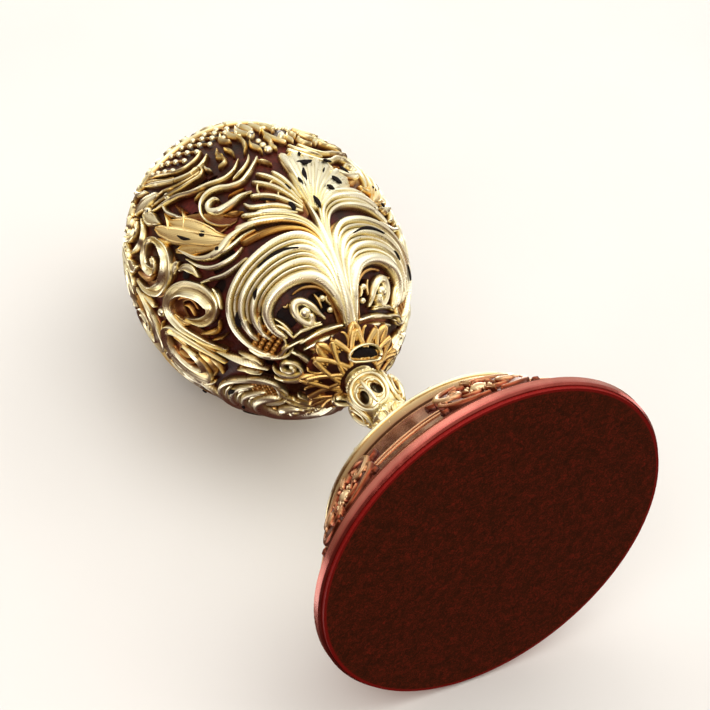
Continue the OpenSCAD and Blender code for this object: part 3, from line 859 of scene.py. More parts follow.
for b0 in (0, 180):                           # once for each middle axis
    q = Quad(EGG, b0, 1)
    q.s(leaves, [(0, 84.5), (0, 88), (0, 92), (0, 97.5)], [(0, 1.0), (0.4, 2.8), (0.8, 1.9), (1, 0.6)], [(0, 1.6), (0.5, 2.3), (1, 1.6)], "ridge")
    q.s(shaded_strokes, [(0, 96.5), (0, 99.5), (0, 103.5)], [(0, 0.7), (0.5, 1.5), (1, 0.6)], 1.9, "ridge")
    # leaf on the lid between the waves
    q.s(crown, [(0, 139.3), (0, 143.5), (0, 149.8)], [(0, 1.4), (0.4, 4.2), (0.8, 2.6), (1, 0.8)], [(0, 1.9), (0.5, 2.5), (1, 2.0)], "double", tone=0.95)
    for sg in (-1, 1):
        q.s(crown, [(sg * 2.6, 139.6), (sg * 5.6, 141.0), (sg * 6.2, 143.6)], [(0, 0.8), (0.5, 1.5), (1, 0.6)], 2.1, "ridge", end=(1.3, 0.6, 0.8, sg), tone=0.9)
        q.s(crown, [(sg * 8.6, 153.0), (sg * 12.4, 151.2), (sg * 17.0, 152.0), (sg * 20.0, 153.2)], [(0, 0.7), (0.5, 1.9), (1, 0.7)], 2.0, "ridge", tone=0.9)
        q.s(crown, [(sg * 10.2, 144.4), (sg * 14.0, 145.6), (sg * 18.6, 145.0), (sg * 22.0, 142.6)], [(0, 0.7), (0.5, 2.0), (1, 0.7)], 2.1, "ridge", tone=0.92)
        q.s(crown, [(sg * 17.6, 147.6), (sg * 21.0, 149.2), (sg * 24.4, 148.4)], [(0, 0.7), (0.5, 1.7), (1, 0.6)], 2.0, "ridge", tone=0.85)
        q.bead(crown, sg * 12.6, 149.2, 0.9, lift=0.8)
    # one volute low on the egg, with a band round it
    ring = lambda rho, phi: (8.0 + rho * math.cos(phi * RAD) / 0.41, 81.3 + rho * math.sin(phi * RAD) / 1.8)
    q.s(scrolls, [ring(5.0 * 0.2 ** t, 100 + 650 * t) for t in np.linspace(0, 1, 34)], [(0, 0.8), (0.2, 1.7), (0.7, 1.6), (1, 1.5)], [(0, 2.0), (0.4, 2.7), (1, 3.0)], "round")
    q.s(scrolls, [ring(6.75, t) for t in range(140, 391, 14)], [(0, 0.7), (0.3, 1.6), (0.75, 1.9), (1, 0.8)], [(0, 1.9), (0.5, 2.6), (1, 2.2)], "round", tone=0.97)
    for sg in (-1, 1):
        q.s(leaves, [(sg * 2.4, 86.0), (sg * 5.2, 88.6), (sg * 6.6, 91.6)], [(0, 0.8), (0.5, 1.9), (1, 0.6)], 1.9, "ridge", tone=0.8)
    q.s(scrolls, [(0, 119.8), (0, 123), (0, 127.0)], [(0, 0.9), (0.4, 2.0), (1, 0.6)], 2.1, "ridge", tone=0.9)
    for z, r in ((105.6, 0.7), (107.4, 0.85), (109.3, 0.85), (111.0, 0.7), (117.4, 1.3)):
        bead(scrolls, EGG, b0, z, r, lift=0.8)

fan_feather = [[(1.4, 108.5), (2.8, 113.0), (4.4, 117.0), (6.4, 120.6)], [(2.0, 107.0), (4.5, 112.0), (7.2, 116.6), (9.8, 119.6), (12.8, 121.8)],
               [(2.5, 106.0), (5.4, 110.2), (9.2, 114.4), (13.2, 117.6), (16.6, 119.8)], [(3.0, 105.5), (7.0, 108.7), (12.0, 112.0), (17.0, 114.4), (21.0, 115.8)],
               [(3.5, 104.8), (8.6, 107.2), (14.0, 109.6), (19.6, 111.2), (23.6, 112.9), (24.8, 115.0)], [(6.0, 104.9), (12.0, 107.0), (18.0, 109.0), (23.0, 110.6)]]
for b0, sg in QUADS:
    q = Quad(EGG, b0, sg)
    # low backing leaves that carry the strands
    for pts, w in (([(4.5, 79.5), (4.6, 88), (10, 95.0), (22, 96.6), (38, 96.4), (53, 94.4), (64, 91.0)], [(0, 5), (0.25, 8), (0.5, 11), (0.8, 10), (1, 5)]),
                   ([(4, 103), (7.5, 109), (12.5, 116.5)] if sg < 0 else [(1.5, 101), (3, 104), (5, 107)], [(0, 4), (0.6, 10 if sg < 0 else 5), (1, 5)]),
                   ([(30, 112.8), (42, 116.0), (51, 122.5), (57, 128)], [(0, 3), (0.5, 9), (1, 5)]),
                   ([(66, 101.5), (67.5, 108), (76, 112.5), (84.5, 108), (85.5, 100)], [(0, 3), (0.3, 5.5), (0.7, 5), (1, 3)]),
                   ([(63.5, 121), (70, 118.6), (79, 119.6), (86, 126)], [(0, 4), (0.5, 5.5), (1, 4)]),
                   ([(4, 78.2), (20, 78.6), (38, 79.4), (56, 80.4)], [(0, 4), (0.5, 6.5), (1, 4)])):
        q.s(under, pts, w, 0.95, "dish", tone=0.72, caps=(1.5, 1.5))
    # fountain of feathered strands that rises with the rib and arches over the eye
    gi = [(7.2, 78.4), (7.6, 81.2), (10.2, 84.8), (16.0, 87.8), (25, 89.4), (34, 89.9), (43, 89.6), (50.4, 88.3), (54.6, 86.0), (54.4, 83.4)]
    go = [(1.3, 78.6), (1.3, 88.0), (2.6, 94.0), (6.0, 98.2), (12, 100.8), (22, 101.9), (36, 101.8), (50, 100.8), (62, 98.8), (71.0, 95.4), (76.8, 90.8), (78.8, 86.6), (76.4, 83.9)]
    q.b(leaves, gi, go, [3.15, 2.3, 2.8, 2.3, 2.75, 2.35, 2.8], "round", gap=0.96, caps=(1.2, 2.4), wts=[2.3, 0.75, 1.35, 0.8, 1.4, 0.8, 1.35],
        stops=[1.0, 0.80, 0.95, 0.84, 0.915, 0.82, 0.985], starts=[0.0, 0.30, 0.08, 0.27, 0.05, 0.24, 0.0], wmin=0.5)
    # dark strips of painted shadow in the gaps between the strands
    for pts, w in (([(38, 98.0), (30, 98.2), (23, 97.8), (15.5, 96.4)], [(0, 0.4), (0.5, 1.0), (1, 0.4)]), ([(67.4, 92.4), (64.6, 94.0), (61.0, 95.0)], [(0, 0.4), (0.4, 1.5), (1, 0.4)]),
                   ([(50.4, 93.3), (47.6, 94.2), (44.8, 94.7)], [(0, 0.4), (0.5, 1.1), (1, 0.4)])):
        q.s(hole_shadows, pts, w, 0.2, "round", lift=2.86, caps=(0.9, 0.9))
    q.s(leaves, [(55.5, 90.6), (60.0, 89.6), (63.0, 87.9)], [(0, 0.7), (0.5, 1.5), (1, 0.6)], 2.3, "round", tone=0.9)
    q.s(leaves, [(62.0, 92.8), (66.5, 91.2), (69.0, 89.0)], [(0, 0.7), (0.5, 1.6), (1, 0.6)], 2.3, "round", tone=0.9)
    q.s(leaves, [(77.6, 89.5), (78.9, 86.4), (76.0, 83.5), (69.5, 82.2), (61.5, 81.9)], [(0, 1.0), (0.4, 1.7), (1, 0.8)], 2.3, "round")
    q.s(leaves, [(57.2, 84.6), (62.0, 83.4), (69, 83.6)], [(0, 0.7), (0.5, 1.2), (1, 0.6)], 1.9, "round", tone=0.8)
    # scales between the strand ends
    for i in range(6):
        for j in range(4):
            q.bead(shaded_strokes, 57.8 + 3.5 * i + 1.7 * (j % 2), 84.4 + 1.28 * j + 0.1 * i, 0.95, h=0.9, lift=0.35, tone=0.42, nseg=10)
    # eye: full oval boss in a thin curl, fine lines on one side, two pearls on the other
    q.s(eyes, [(22.6, 81.4), (25.0, 82.6), (27.4, 84.8), (31.0, 86.5), (35.6, 86.9), (39.0, 85.7), (39.4, 83.7), (36.4, 82.5), (32.8, 82.8), (31.4, 84.1)],
        [(0, 1.0), (0.3, 2.4), (0.5, 3.0), (0.7, 2.5), (0.85, 2.6), (1, 2.0)], [(0, 1.9), (0.4, 2.9), (0.8, 3.0), (1, 3.1)], "round", tone=1.0)
    q.bead(eyes, 33.6, 84.5, 1.5, h=1.1, lift=2.4, nseg=18)
    q.s(eyes, [(54.2, 87.0), (53.0, 85.6), (53.0, 84.0), (54.6, 82.8)], [(0, 0.7), (0.5, 1.2), (1, 0.8)], 2.3, "round", tone=0.95)
    q.s(eyes, [(51.6, 87.9), (50.8, 86.4), (50.9, 84.7), (52.2, 83.2)], [(0, 0.6), (0.5, 1.0), (1, 0.7)], 2.1, "round", tone=0.85)
    q.s(eyes, [(42.6, 88.4), (41.0, 87.6), (38.0, 88.0)], [(0, 0.6), (0.5, 1.0), (1, 0.6)], 2.0, "round", tone=0.6)
    q.s(eyes, [(12.0, 85.0), (17, 87.1), (25, 88.5), (34, 88.7)], [(0, 0.7), (0.5, 1.3), (1, 0.7)], 1.6, "round", tone=0.48)
    q.bead(eyes, 17.4, 84.9, 0.95, lift=1.3)
    q.bead(eyes, 16.0, 82.5, 0.85, lift=1.3)
    q.s(eyes, [(13.6, 85.2), (15.4, 84.2), (13.2, 83.0)], [(0, 0.6), (0.5, 0.9), (1, 0.6)], 2.0, "round", tone=0.85)
    q.s(eyes, [(21.6, 86.6), (20.4, 85.0), (21.4, 83.2)], [(0, 0.6), (0.5, 0.9), (1, 0.6)], 1.9, "round", tone=0.6)
    q.s(eyes, [(48.0, 83.0), (42.0, 82.4), (35.0, 82.0), (27, 81.6)], [(0, 0.7), (0.5, 1.1), (1, 0.7)], 2.3, "round", tone=0.9)
    q.s(eyes, [(56, 82.9), (48, 82.7), (41, 82.2), (34, 81.7), (27, 81.2)], [(0, 0.8), (0.5, 1.5), (1, 0.8)], 2.2, "round", tone=0.95)
    q.s(eyes, [(56.5, 81.6), (46, 81.0), (32, 80.4), (18, 79.9), (8.5, 79.6)], [(0, 0.9), (0.5, 1.8), (1, 1.1)], 2.4, "round")
    q.s(leaves, [(60, 80.6), (46, 79.7), (31, 79.0), (16, 78.5), (3.5, 78.1)], [(0, 0.9), (0.5, 2.1), (1, 1.3)], 2.2, "round")
    q.s(leaves, [(58, 79.3), (43, 78.2), (28, 77.5), (13, 77.1), (3, 76.9)], [(0, 0.9), (0.5, 2.1), (1, 1.3)], 2.1, "ridge", tone=0.9)
    # second tier of strands
    if sg < 0:
        q.b(shaded_strokes, [(2.3, 91.5), (3.3, 95.6), (7.6, 99.4), (14.6, 101.7), (23, 103.2), (32, 104.3), (39, 105.2)],
            [(1.9, 93.0), (2.9, 97.0), (7.0, 101.0), (13.6, 103.6), (21, 105.2), (29, 106.4), (35, 107.4)], [2.1], "ridge", gap=0.94, tone=0.8, caps=(1.2, 1.8))
        q.b(leaves, [(1.9, 93.0), (2.9, 97.0), (7.0, 101.0), (13.6, 103.9), (21, 105.9), (29, 107.8), (37, 109.0)],
            [(1.2, 95.0), (2.1, 99.5), (5.5, 103.0), (11.5, 106.4), (18, 108.9), (24, 111.0), (29, 113.6)], [2.7, 2.1, 2.6], "round", gap=0.95, tone=0.94,
            caps=(1.2, 1.8), wts=[1.6, 0.8, 1.1], stops=[1.0, 0.9, 0.97])
    else:
        q.b(leaves, [(2.3, 91.5), (3.5, 97.0), (7.6, 101.6), (14, 103.7), (25, 104.5), (36, 104.3), (44, 103.7), (50, 103.2)],
            [(1.2, 95.0), (2.0, 101.0), (5.0, 106.2), (11.5, 109.6), (20, 111.0), (29, 111.4), (37, 110.8), (43, 109.0)], [2.5, 2.2, 2.6, 2.2], "round",
            gap=0.95, caps=(1.2, 2.2), wts=[1.2, 0.8, 1.4, 1.0], stops=[1.0, 0.88, 0.97, 0.9])
    q.s(leaves, [(38, 101.9), (46, 102.3), (52, 103.2), (57.5, 105.4), (62.5, 107.4)], [(0, 0.8), (0.5, 1.6), (1, 0.8)], 2.3, "round")
    # broad gold leaf with the curl under it
    q.s(shaded_strokes, [(36.0, 108.4), (41.5, 109.4), (48.6, 112.6), (55.2, 116.6), (60.6, 119.6)], [(0, 1.2), (0.35, 3.4), (0.7, 4.6), (1, 1.2)], [(0, 2.0), (0.5, 2.3), (1, 2.0)], "leaf", tone=0.9)
    q.s(shaded_strokes, [(38.0, 109.0), (42.4, 112.0), (45.0, 116.4), (48.0, 120.8), (52.4, 125.6), (55.0, 129.6)], [(0, 1.2), (0.3, 4.0), (0.65, 4.4), (1, 1.0)], [(0, 2.1), (0.5, 2.45), (1, 1.9)], "leaf", tone=0.96)
    q.s(shaded_strokes, [(38.0, 108.4), (44.0, 111.4), (49.8, 116.4), (54.4, 121.4), (58.2, 126.4), (61.2, 131.6)], [(0, 1.2), (0.28, 4.4), (0.62, 5.4), (0.85, 3.6), (1, 1.0)], [(0, 2.3), (0.5, 2.75), (1, 2.1)],
        "leaf", tone=1.0)
    for pts in ([(57.0, 125.4), (54.2, 128.6), (53.4, 132.6)], [(52.2, 121.0), (48.2, 123.6), (45.8, 128.2)], [(46.8, 115.4), (43.6, 117.0), (42.2, 119.2)]):
        q.s(shaded_strokes, pts, [(0, 1.5), (0.4, 1.9), (1, 0.4)], [(0, 2.2), (0.5, 2.3), (1, 1.7)], "ridge", tone=0.95, caps=(0.8, 2.0))
    q.s(shaded_strokes, [(56.8, 122.6), (60.6, 124.4), (62.8, 128.0)], [(0, 1.2), (0.5, 2.6), (1, 0.8)], 2.2, "ridge", tone=0.95)
    q.s(leaves, [(48.0, 124.4), (50.8, 128.0), (52.4, 131.4), (51.8, 134.4)], [(0, 0.7), (0.5, 1.5), (1, 0.7)], 2.2, "round", tone=0.95)
    q.s(shaded_strokes, [(45.2, 124.6), (47.2, 127.6), (47.6, 131.0)], [(0, 0.7), (0.5, 2.0), (1, 0.7)], 1.5, "ridge", tone=0.5)
    # dark spot and strip of painted shadow in the leaf
    q.bead(hole_shadows, 46.2, 115.6, 0.95, h=0.24, lift=2.3)
    q.s(hole_shadows, [(51.2, 117.0), (53.4, 119.2), (54.6, 121.6)], [(0, 0.4), (0.5, 1.0), (1, 0.4)], 0.22, "round", lift=2.45)
    if sg > 0:
        q.s(shaded_strokes, [(33.5, 113.4), (37, 112.6), (41.0, 113.2), (45.4, 115.4)], [(0, 0.9), (0.6, 3.0), (1, 3.0)], 2.2, "leaf")
    q.s(scrolls, [(26 if sg < 0 else 45.0, 108.6), (32 if sg < 0 else 46.5, 109.0), (39 if sg < 0 else 48, 109.2), (45 if sg < 0 else 49.6, 108.6), (50.4, 109.4), (54.8, 112.0), (57.4, 116.0), (58.8, 119.6)],
        [(0, 0.8), (0.4, 2.9), (0.75, 1.6), (1, 0.8)], [(0, 2.0), (0.5, 2.8), (1, 2.2)], "round")
    # dark spot of painted shadow
    q.bead(hole_shadows, 45.6, 109.0, 0.7, h=0.24, lift=2.6)
    q.s(leaves, [(59.4, 115.6), (57.2, 110.6), (53.6, 107.2), (48.4, 105.4), (41.8, 104.5), (36.5, 104.9 if sg < 0 else 104.6)] if sg < 0 else [(59.4, 115.6), (57.4, 110.8), (54.4, 107.6), (51.4, 106.2)],
        [(0, 0.6), (0.4, 1.5), (0.75, 1.7), (1, 0.8)], [(0, 1.9), (0.5, 2.5), (1, 2.0)], "round")
    if sg < 0:
        q.s(leaves, [(53.0, 110.4), (46.0, 107.8), (39.0, 107.0), (33.0, 107.0), (27.0, 106.4)], [(0, 0.6), (0.5, 1.4), (1, 0.7)], [(0, 1.7), (0.5, 2.3), (1, 1.9)], "round", tone=0.92)
    if sg < 0:
        # feathers fanned out on one side of the rib, with small steps across them
        for pts in fan_feather:
            q.s(leaves, pts, [(0, 0.7), (0.45, 1.45), (0.85, 1.5), (1, 0.9)], [(0, 2.0), (0.6, 2.6), (1, 2.1)], "round", caps=(0.6, 0.9), tone=0.9)
        for pts in ([(6.2, 117.4), (9.0, 117.0), (12.0, 115.6)], [(9.0, 113.2), (11.2, 111.0)], [(14.6, 118.2), (16.4, 116.4), (16.6, 114.6)]):
            q.s(leaves, pts, 0.9, 1.9, "round", caps=(0.4, 0.4), tone=0.75)
        # dark strips of painted shadow between the feathers
        for pts, w in (([(8.4, 108.5), (7.6, 107.0), (8.2, 105.6)], 1.3), ([(18.5, 112.9), (15.2, 111.6), (12.5, 110.4)], 0.6), ([(5.2, 114.2), (4.2, 111.8)], 0.6)):
            q.s(hole_shadows, pts, w, 0.22, "round", lift=2.42, caps=(0.8, 0.8))
    else:
        # one broad leaf on the other side, its piercings drawn as dark strips of painted shadow
        for pts, w in (([(1.0, 105.0), (3.4, 111.5), (6.4, 118.5), (9.0, 125.8)], 9.5), ([(2.2, 104.6), (8.0, 111.0), (15.0, 117.4), (21.0, 123.6)], 9.5), ([(3.0, 104.4), (10.0, 108.6), (19.0, 113.0), (28.6, 117.2)], 8.0)):
            q.s(leaves, pts, [(0, 1.4), (0.5, w * 0.75), (0.85, w), (1, w * 0.8)], [(0, 1.9), (0.6, 2.3), (1, 1.9)], "round", tone=0.97, caps=(0.8, 3.6))
        mid = [(1.6, 104.2), (5.8, 110.8), (11.4, 117.8), (17.0, 125.4)]
        q.b(leaves, [(0.4, 104.8), (0.5, 112.0), (0.6, 120.0), (1.2, 127.8)], mid, [2.6, 2.75, 2.6], "round", gap=0.96, caps=(0.8, 2.6), wts=[1, 1.1, 1], stops=[0.985, 1.0, 0.985])
        q.b(leaves, mid, [(3.6, 104.2), (11.0, 109.0), (21.0, 112.4), (32.5, 115.4)], [2.65, 2.8, 2.65, 2.5], "round", gap=0.96, caps=(0.8, 2.6), wts=[1, 1.15, 1.1, 0.9], stops=[1.0, 0.985, 1.0, 0.97])
        for pts, w in (([(5.6, 120.6), (9.2, 120.0), (13.0, 120.4)], 1.7), ([(18.6, 120.8), (23.0, 120.2)], 1.1), ([(6.6, 118.0), (5.2, 115.8), (4.4, 113.2)], 1.35),
                       ([(12.6, 111.0), (15.4, 109.4)], 1.5), ([(17.6, 114.2), (21.0, 111.6)], 1.9), ([(26.0, 118.8), (29.2, 116.6)], 1.3), ([(1.5, 115.0), (2.0, 112.2)], 1.0),
                       ([(3.4, 108.2), (4.0, 106.2), (4.0, 104.2)], 1.3), ([(16.6, 117.4), (13.8, 115.0)], 0.7), ([(10.0, 124.6), (9.0, 122.8)], 0.9)):
            q.s(hole_shadows, pts, [(0, w * 0.5), (0.5, w), (1, w * 0.45)], 0.22, "round", lift=2.6, caps=(0.9, 0.9))
    # small scroll beside the fan
    q.s(scrolls, [(34.5, 111.8), (38.6, 114.0), (41.2, 117.4), (41.0, 120.8), (38.2, 123.6), (33.8, 124.6), (29, 123.8), (24.8, 122.0), (20, 121.3), (15.2, 122.8), (10.6, 125.2), (6.8, 127.6)],
        [(0, 0.6), (0.3, 1.0), (0.55, 1.6), (0.8, 1.5), (1, 0.9)], [(0, 2.0), (0.4, 2.7), (1, 2.2)], "round")
    q.s(scrolls, [(18.2, 116.6), (24, 117.3), (30, 117.0), (35.0, 117.6), (37.6, 119.4), (36.6, 121.4), (33.4, 121.8), (31.6, 120.4)], [(0, 0.8), (0.35, 2.3), (0.55, 2.6), (0.75, 2.0), (1, 0.9)],
        [(0, 2.1), (0.6, 2.9), (1, 2.3)], "round")
    q.s(shaded_strokes, [(26.5, 112.6), (30.5, 114.4), (35.0, 115.6)], [(0, 0.8), (0.5, 2.6), (1, 0.8)], 1.8, "ridge", tone=0.72)
    q.s(shaded_strokes, [(20.0, 118.9), (24.5, 119.7), (28.5, 119.6)], [(0, 0.6), (0.5, 1.4), (1, 0.6)], 1.6, "ridge", tone=0.6)
    # great volute
    q.s(scrolls, [(85.6, 93.8), (87.2, 98.5), (87.8, 103.5), (87.7, 108.6), (86.0, 112.6), (82.4, 114.5), (77.8, 114.5), (72.4, 112.7), (68.0, 109.0), (66.2, 104.8), (68.0, 101.4), (72.6, 100.6),
                  (77.4, 102.0), (80.6, 104.8), (82.4, 108.2)],
        [(0, 0.9), (0.2, 1.7), (0.36, 2.5), (0.48, 3.2), (0.62, 5.0), (0.72, 5.4), (0.84, 3.2), (1, 1.0)], [(0, 2.0), (0.45, 2.8), (1, 2.1)], "channel", caps=(0.8, 0.8))
    q.s(shaded_strokes, [(73.8, 104.4), (71.9, 107.2), (73.6, 110.2), (77.2, 112.0)], [(0, 0.7), (0.5, 1.3), (1, 0.7)], 1.7, "round", tone=0.55)
    q.s(shaded_strokes, [(77.8, 104.6), (75.6, 107.2), (76.8, 109.8)], [(0, 0.8), (0.5, 2.0), (1, 0.8)], 1.9, "ridge", tone=0.68)
    q.s(shaded_strokes, [(83.2, 105.6), (84.8, 108.6), (83.6, 111.8)], [(0, 0.9), (0.5, 2.2), (1, 0.8)], 2.0, "leaf", tone=0.95)
    q.s(shaded_strokes, [(84.6, 102.2), (80.8, 99.2), (76.0, 97.6), (71.0, 98.2)], [(0, 0.8), (0.5, 2.3), (1, 0.8)], 2.1, "ridge", tone=0.9)
    q.s(scrolls, [(84.4, 98.6), (80.4, 96.2), (75.6, 95.0)], [(0, 0.7), (0.5, 1.4), (1, 0.6)], 1.9, "ridge", tone=0.7)
    q.s(scrolls, [(66.4, 98.6), (61.6, 101.6), (60.2, 104.0)], [(0, 0.8), (0.5, 1.6), (1, 0.6)], 2.2, "round", tone=0.9)
    # upper volute
    q.s(scrolls, [(87.6, 131.6), (87.0, 126.4), (83.6, 121.9), (78.0, 119.0), (71.4, 118.6), (66.0, 120.8), (63.8, 124.8), (65.0, 129.2), (69.4, 131.5), (74.6, 130.4),
                  (77.2, 127.4), (75.6, 124.6), (72.4, 124.8), (71.2, 127.2)],
        [(0, 0.9), (0.13, 2.0), (0.27, 3.8), (0.38, 5.0), (0.5, 3.6), (0.6, 1.8), (0.74, 1.9), (0.88, 2.9), (1, 1.4)], [(0, 1.9), (0.4, 2.7), (1, 2.3)], "channel", caps=(0.8, 0.8))
    q.s(shaded_strokes, [(83.6, 131.5), (82.6, 127.6), (79.8, 124.8), (75.2, 122.4)], [(0, 0.8), (0.45, 2.9), (1, 0.7)], 1.9, "ridge", tone=0.62)
    q.s(shaded_strokes, [(80.2, 132.0), (79.8, 129.0), (77.6, 126.6)], [(0, 0.6), (0.5, 1.2), (1, 0.6)], 1.9, "ridge", tone=0.55)
    q.s(waves, [(87.4, 140.2), (86.9, 137.0), (85.0, 134.0), (82.0, 132.4)], [(0, 1.0), (0.45, 3.9), (1, 0.9)], 2.2, "leaf", tone=0.93)
    q.s(scrolls, [(65.8, 115.2), (62.4, 114.2), (60.6, 111.4), (60.8, 108.4)], [(0, 0.9), (0.5, 2.5), (1, 0.8)], 2.3, "leaf", tone=0.95)
    q.s(scrolls, [(68.6, 115.9), (65.0, 117.2), (62.0, 116.6)], [(0, 0.8), (0.5, 2.6), (1, 0.8)], 2.4, "round", tone=1.0)
    # dark spot of painted shadow
    q.bead(hole_shadows, 64.4, 112.4, 1.15, h=0.24, lift=1.75)
    q.s(scrolls, [(76.0, 116.4), (82.0, 116.6), (87.4, 116.0)], [(0, 0.7), (0.5, 1.3), (1, 0.6)], 1.9, "ridge", tone=0.7)
    q.s(scrolls, [(69.2, 113.6), (65.6, 109.8), (64.2, 106.0)], [(0, 0.6), (0.5, 1.0), (1, 0.6)], 2.0, "ridge", tone=0.6)
    # small volutes low on the egg
    q.s(scrolls, [(47, 81.0), (56, 82.0), (65, 82.9), (72, 83.2), (78.5, 84.4)], [(0, 0.8), (0.35, 1.2), (0.7, 1.5), (1, 0.6)], [(0, 1.8), (0.5, 2.6), (1, 2.0)], "round")
    q.s(scrolls, [(86.6, 85.6), (84.8, 86.8), (84.2, 88.4), (86.2, 90.8)], [(0, 0.8), (0.5, 2.0), (1, 0.7)], 2.0, "ridge", tone=0.9)
    # long wavy lines that sweep round under and over the lid seam
    W = [
        ([(52.5, 151.5), (48.5, 147.6), (43.5, 143.4), (38.5, 140.3), (33, 138.9), (28, 139.4), (23.5, 141.6)], 1.6, 0.8),
        ([(57, 150.4), (52, 146), (47, 141.7), (42, 138.2), (37, 136.0), (31, 135.2), (26.4, 136.3), (22.4, 138.6)], 2.4, 1.0),
        ([(57.5, 138.6), (49, 135.6), (40.5, 132.9), (33, 131.8)], 1.5, 0.75),
        ([(58, 136.8), (50.5, 134.0), (44.5, 131.8), (38.5, 128.9), (31, 127.1), (24.5, 125.6), (19.5, 126.4), (13.8, 129.8)], 2.3, 1.0),
        ([(22.4, 123.5), (16.8, 124.5), (11.6, 127.2), (9.2, 129.8)], 1.8, 1.0),
        ([(52.5, 139.8), (46.5, 137.1), (40.5, 134.6), (35.0, 133.5), (29.5, 133.3)], 1.1, 0.7),
        ([(54.6, 150.4), (50.0, 146.0), (45.0, 141.7), (40.4, 139.0)], 0.9, 0.62),
    ]
    # the third value of each wave is its tone: painted shade on that wave
    for i, (pts, w, wave_shade) in enumerate(W):
        e = (2.4, 0.9, 1.25, -1) if i == 2 else None
        q.s(waves, pts, [(0, 0.55), (0.2, w * 0.54), (0.8, w * 0.54), (1, 0.45)], [(0, 2.0), (0.3, 2.7), (1, 2.1)], "round", end=e, tone=wave_shade * 0.84)
    q.s(waves, [(68.5, 144.8), (62, 143.6), (56, 141.4), (50.5, 138.9)], [(0, 1.6), (0.4, 4.3), (0.8, 3.0), (1, 1.0)], 2.2, "leaf")
    q.s(waves, [(58.0, 130.6), (60.0, 134.2), (61.8, 137.4), (62.6, 140.6)], [(0, 1.0), (0.5, 4.2), (1, 1.2)], 2.1, "leaf", tone=0.93)
    q.s(waves, [(71.5, 160.0), (66.5, 154.8), (61.4, 149.8), (56.0, 146.0)], [(0, 0.8), (0.5, 1.8), (1, 0.8)], 2.3, "round", tone=0.92)
    q.s(waves, [(63.6, 157.4), (60.4, 154.0), (56.8, 150.9)], [(0, 0.8), (0.5, 2.2), (1, 0.8)], 2.0, "ridge", tone=0.9)
    q.s(waves, [(26.2, 131.2), (27.6, 132.6), (27.4, 134.4)], [(0, 0.7), (0.5, 1.1), (1, 0.6)], 2.2, "round")
    q.s(waves, [(23.6, 130.6), (19.6, 131.4), (19.0, 134.0), (21.6, 135.0)], [(0, 0.8), (0.5, 1.7), (1, 0.8)], 2.1, "ridge", tone=0.8)
    q.s(waves, [(14.6, 131.6), (14.0, 134.4), (16.0, 137.0)], [(0, 0.8), (0.5, 1.5), (1, 0.7)], 2.2, "ridge", tone=0.9)
    q.s(waves, [(10.5, 131.0), (7.5, 134.0), (5.8, 137.4), (6.6, 141.0)], [(0, 0.8), (0.5, 1.7), (1, 0.7)], 2.1, "ridge", tone=0.8)
    q.s(waves, [(40.5, 125.8), (36.5, 126.6), (33.5, 126.0)], [(0, 0.6), (0.5, 1.0), (1, 0.6)], 1.9, "ridge", tone=0.7)
    q.s(waves, [(86.0, 148.6), (82.0, 144.8), (77.0, 141.6), (71.4, 140.0), (67.6, 141.4)], [(0, 0.9), (0.3, 2.2), (0.7, 2.9), (1, 0.9)], 2.3, "channel", tone=0.95)
    q.s(waves, [(82.8, 138.6), (77.4, 136.2), (71.6, 135.0), (67.0, 136.6), (64.6, 140.0)], [(0, 0.8), (0.5, 2.1), (1, 0.7)], 2.2, "ridge")
    q.s(waves, [(88.4, 153.0), (84.0, 149.6), (78.0, 147.6), (73.6, 149.6)], [(0, 0.8), (0.5, 2.0), (1, 0.8)], 2.1, "ridge", tone=0.85)
    q.s(waves, [(1.2, 147.4), (2.6, 144.4), (2.2, 141.4), (0.7, 139.6)], [(0, 0.8), (0.5, 2.3), (1, 0.8)], 2.2, "ridge")
    q.s(waves, [(5.4, 147.0), (7.4, 144.0), (6.6, 140.8), (4.2, 139.4)], [(0, 0.8), (0.5, 2.2), (1, 0.8)], 2.1, "ridge", tone=0.9)
    q.s(waves, [(10.4, 145.6), (12.8, 143.0), (12.4, 140.4), (10.2, 138.9)], [(0, 0.8), (0.5, 1.9), (1, 0.8)], 2.1, "ridge", tone=0.82)
    q.s(waves, [(3.4, 136.6), (4.6, 133.8), (3.0, 131.0), (3.6, 128.4)], [(0, 0.8), (0.5, 1.8), (1, 0.7)], 2.1, "ridge", tone=0.88)
    q.s(waves, [(17.6, 138.6), (19.4, 136.4), (17.8, 134.2)], [(0, 0.7), (0.5, 1.7), (1, 0.7)], 2.1, "ridge", tone=0.85)
    q.s(waves, [(8.6, 126.4), (5.6, 125.2), (3.6, 122.8)], [(0, 0.7), (0.5, 1.5), (1, 0.6)], 1.9, "ridge", tone=0.75)
    # beaded trellis over the waves
    wl = np.array(W[0][0])[::-1]
    for row, z in enumerate((143.6, 146.6, 149.6, 152.4)):
        for k in range(13):
            a = 3.6 + 7.2 * k + (3.6 if row % 2 else 0.0)
            if a > 89.5 or z < np.interp(a, wl[:, 0], wl[:, 1]) + 1.7 or (a > 64 and z < 151.5):
                continue
            q.bead(crown, a, z, 0.85, lift=0.7, tone=0.88)
            if a + 3.6 < 88 and row < 3:
                q.s(crown, [(a + 0.7, z + 0.7), (a + 2.9, z + 2.3)], 0.7, 1.2, "round", tone=0.8, caps=(0.3, 0.3))
    q.s(crown, [(0, 154.2), (12, 154.2), (24, 154.2), (36, 154.2), (48, 154.2), (60, 154.2), (72, 154.2), (84, 154.2), (90, 154.2)], 1.1, 1.8, "round",
        caps=(0.01, 0.01))

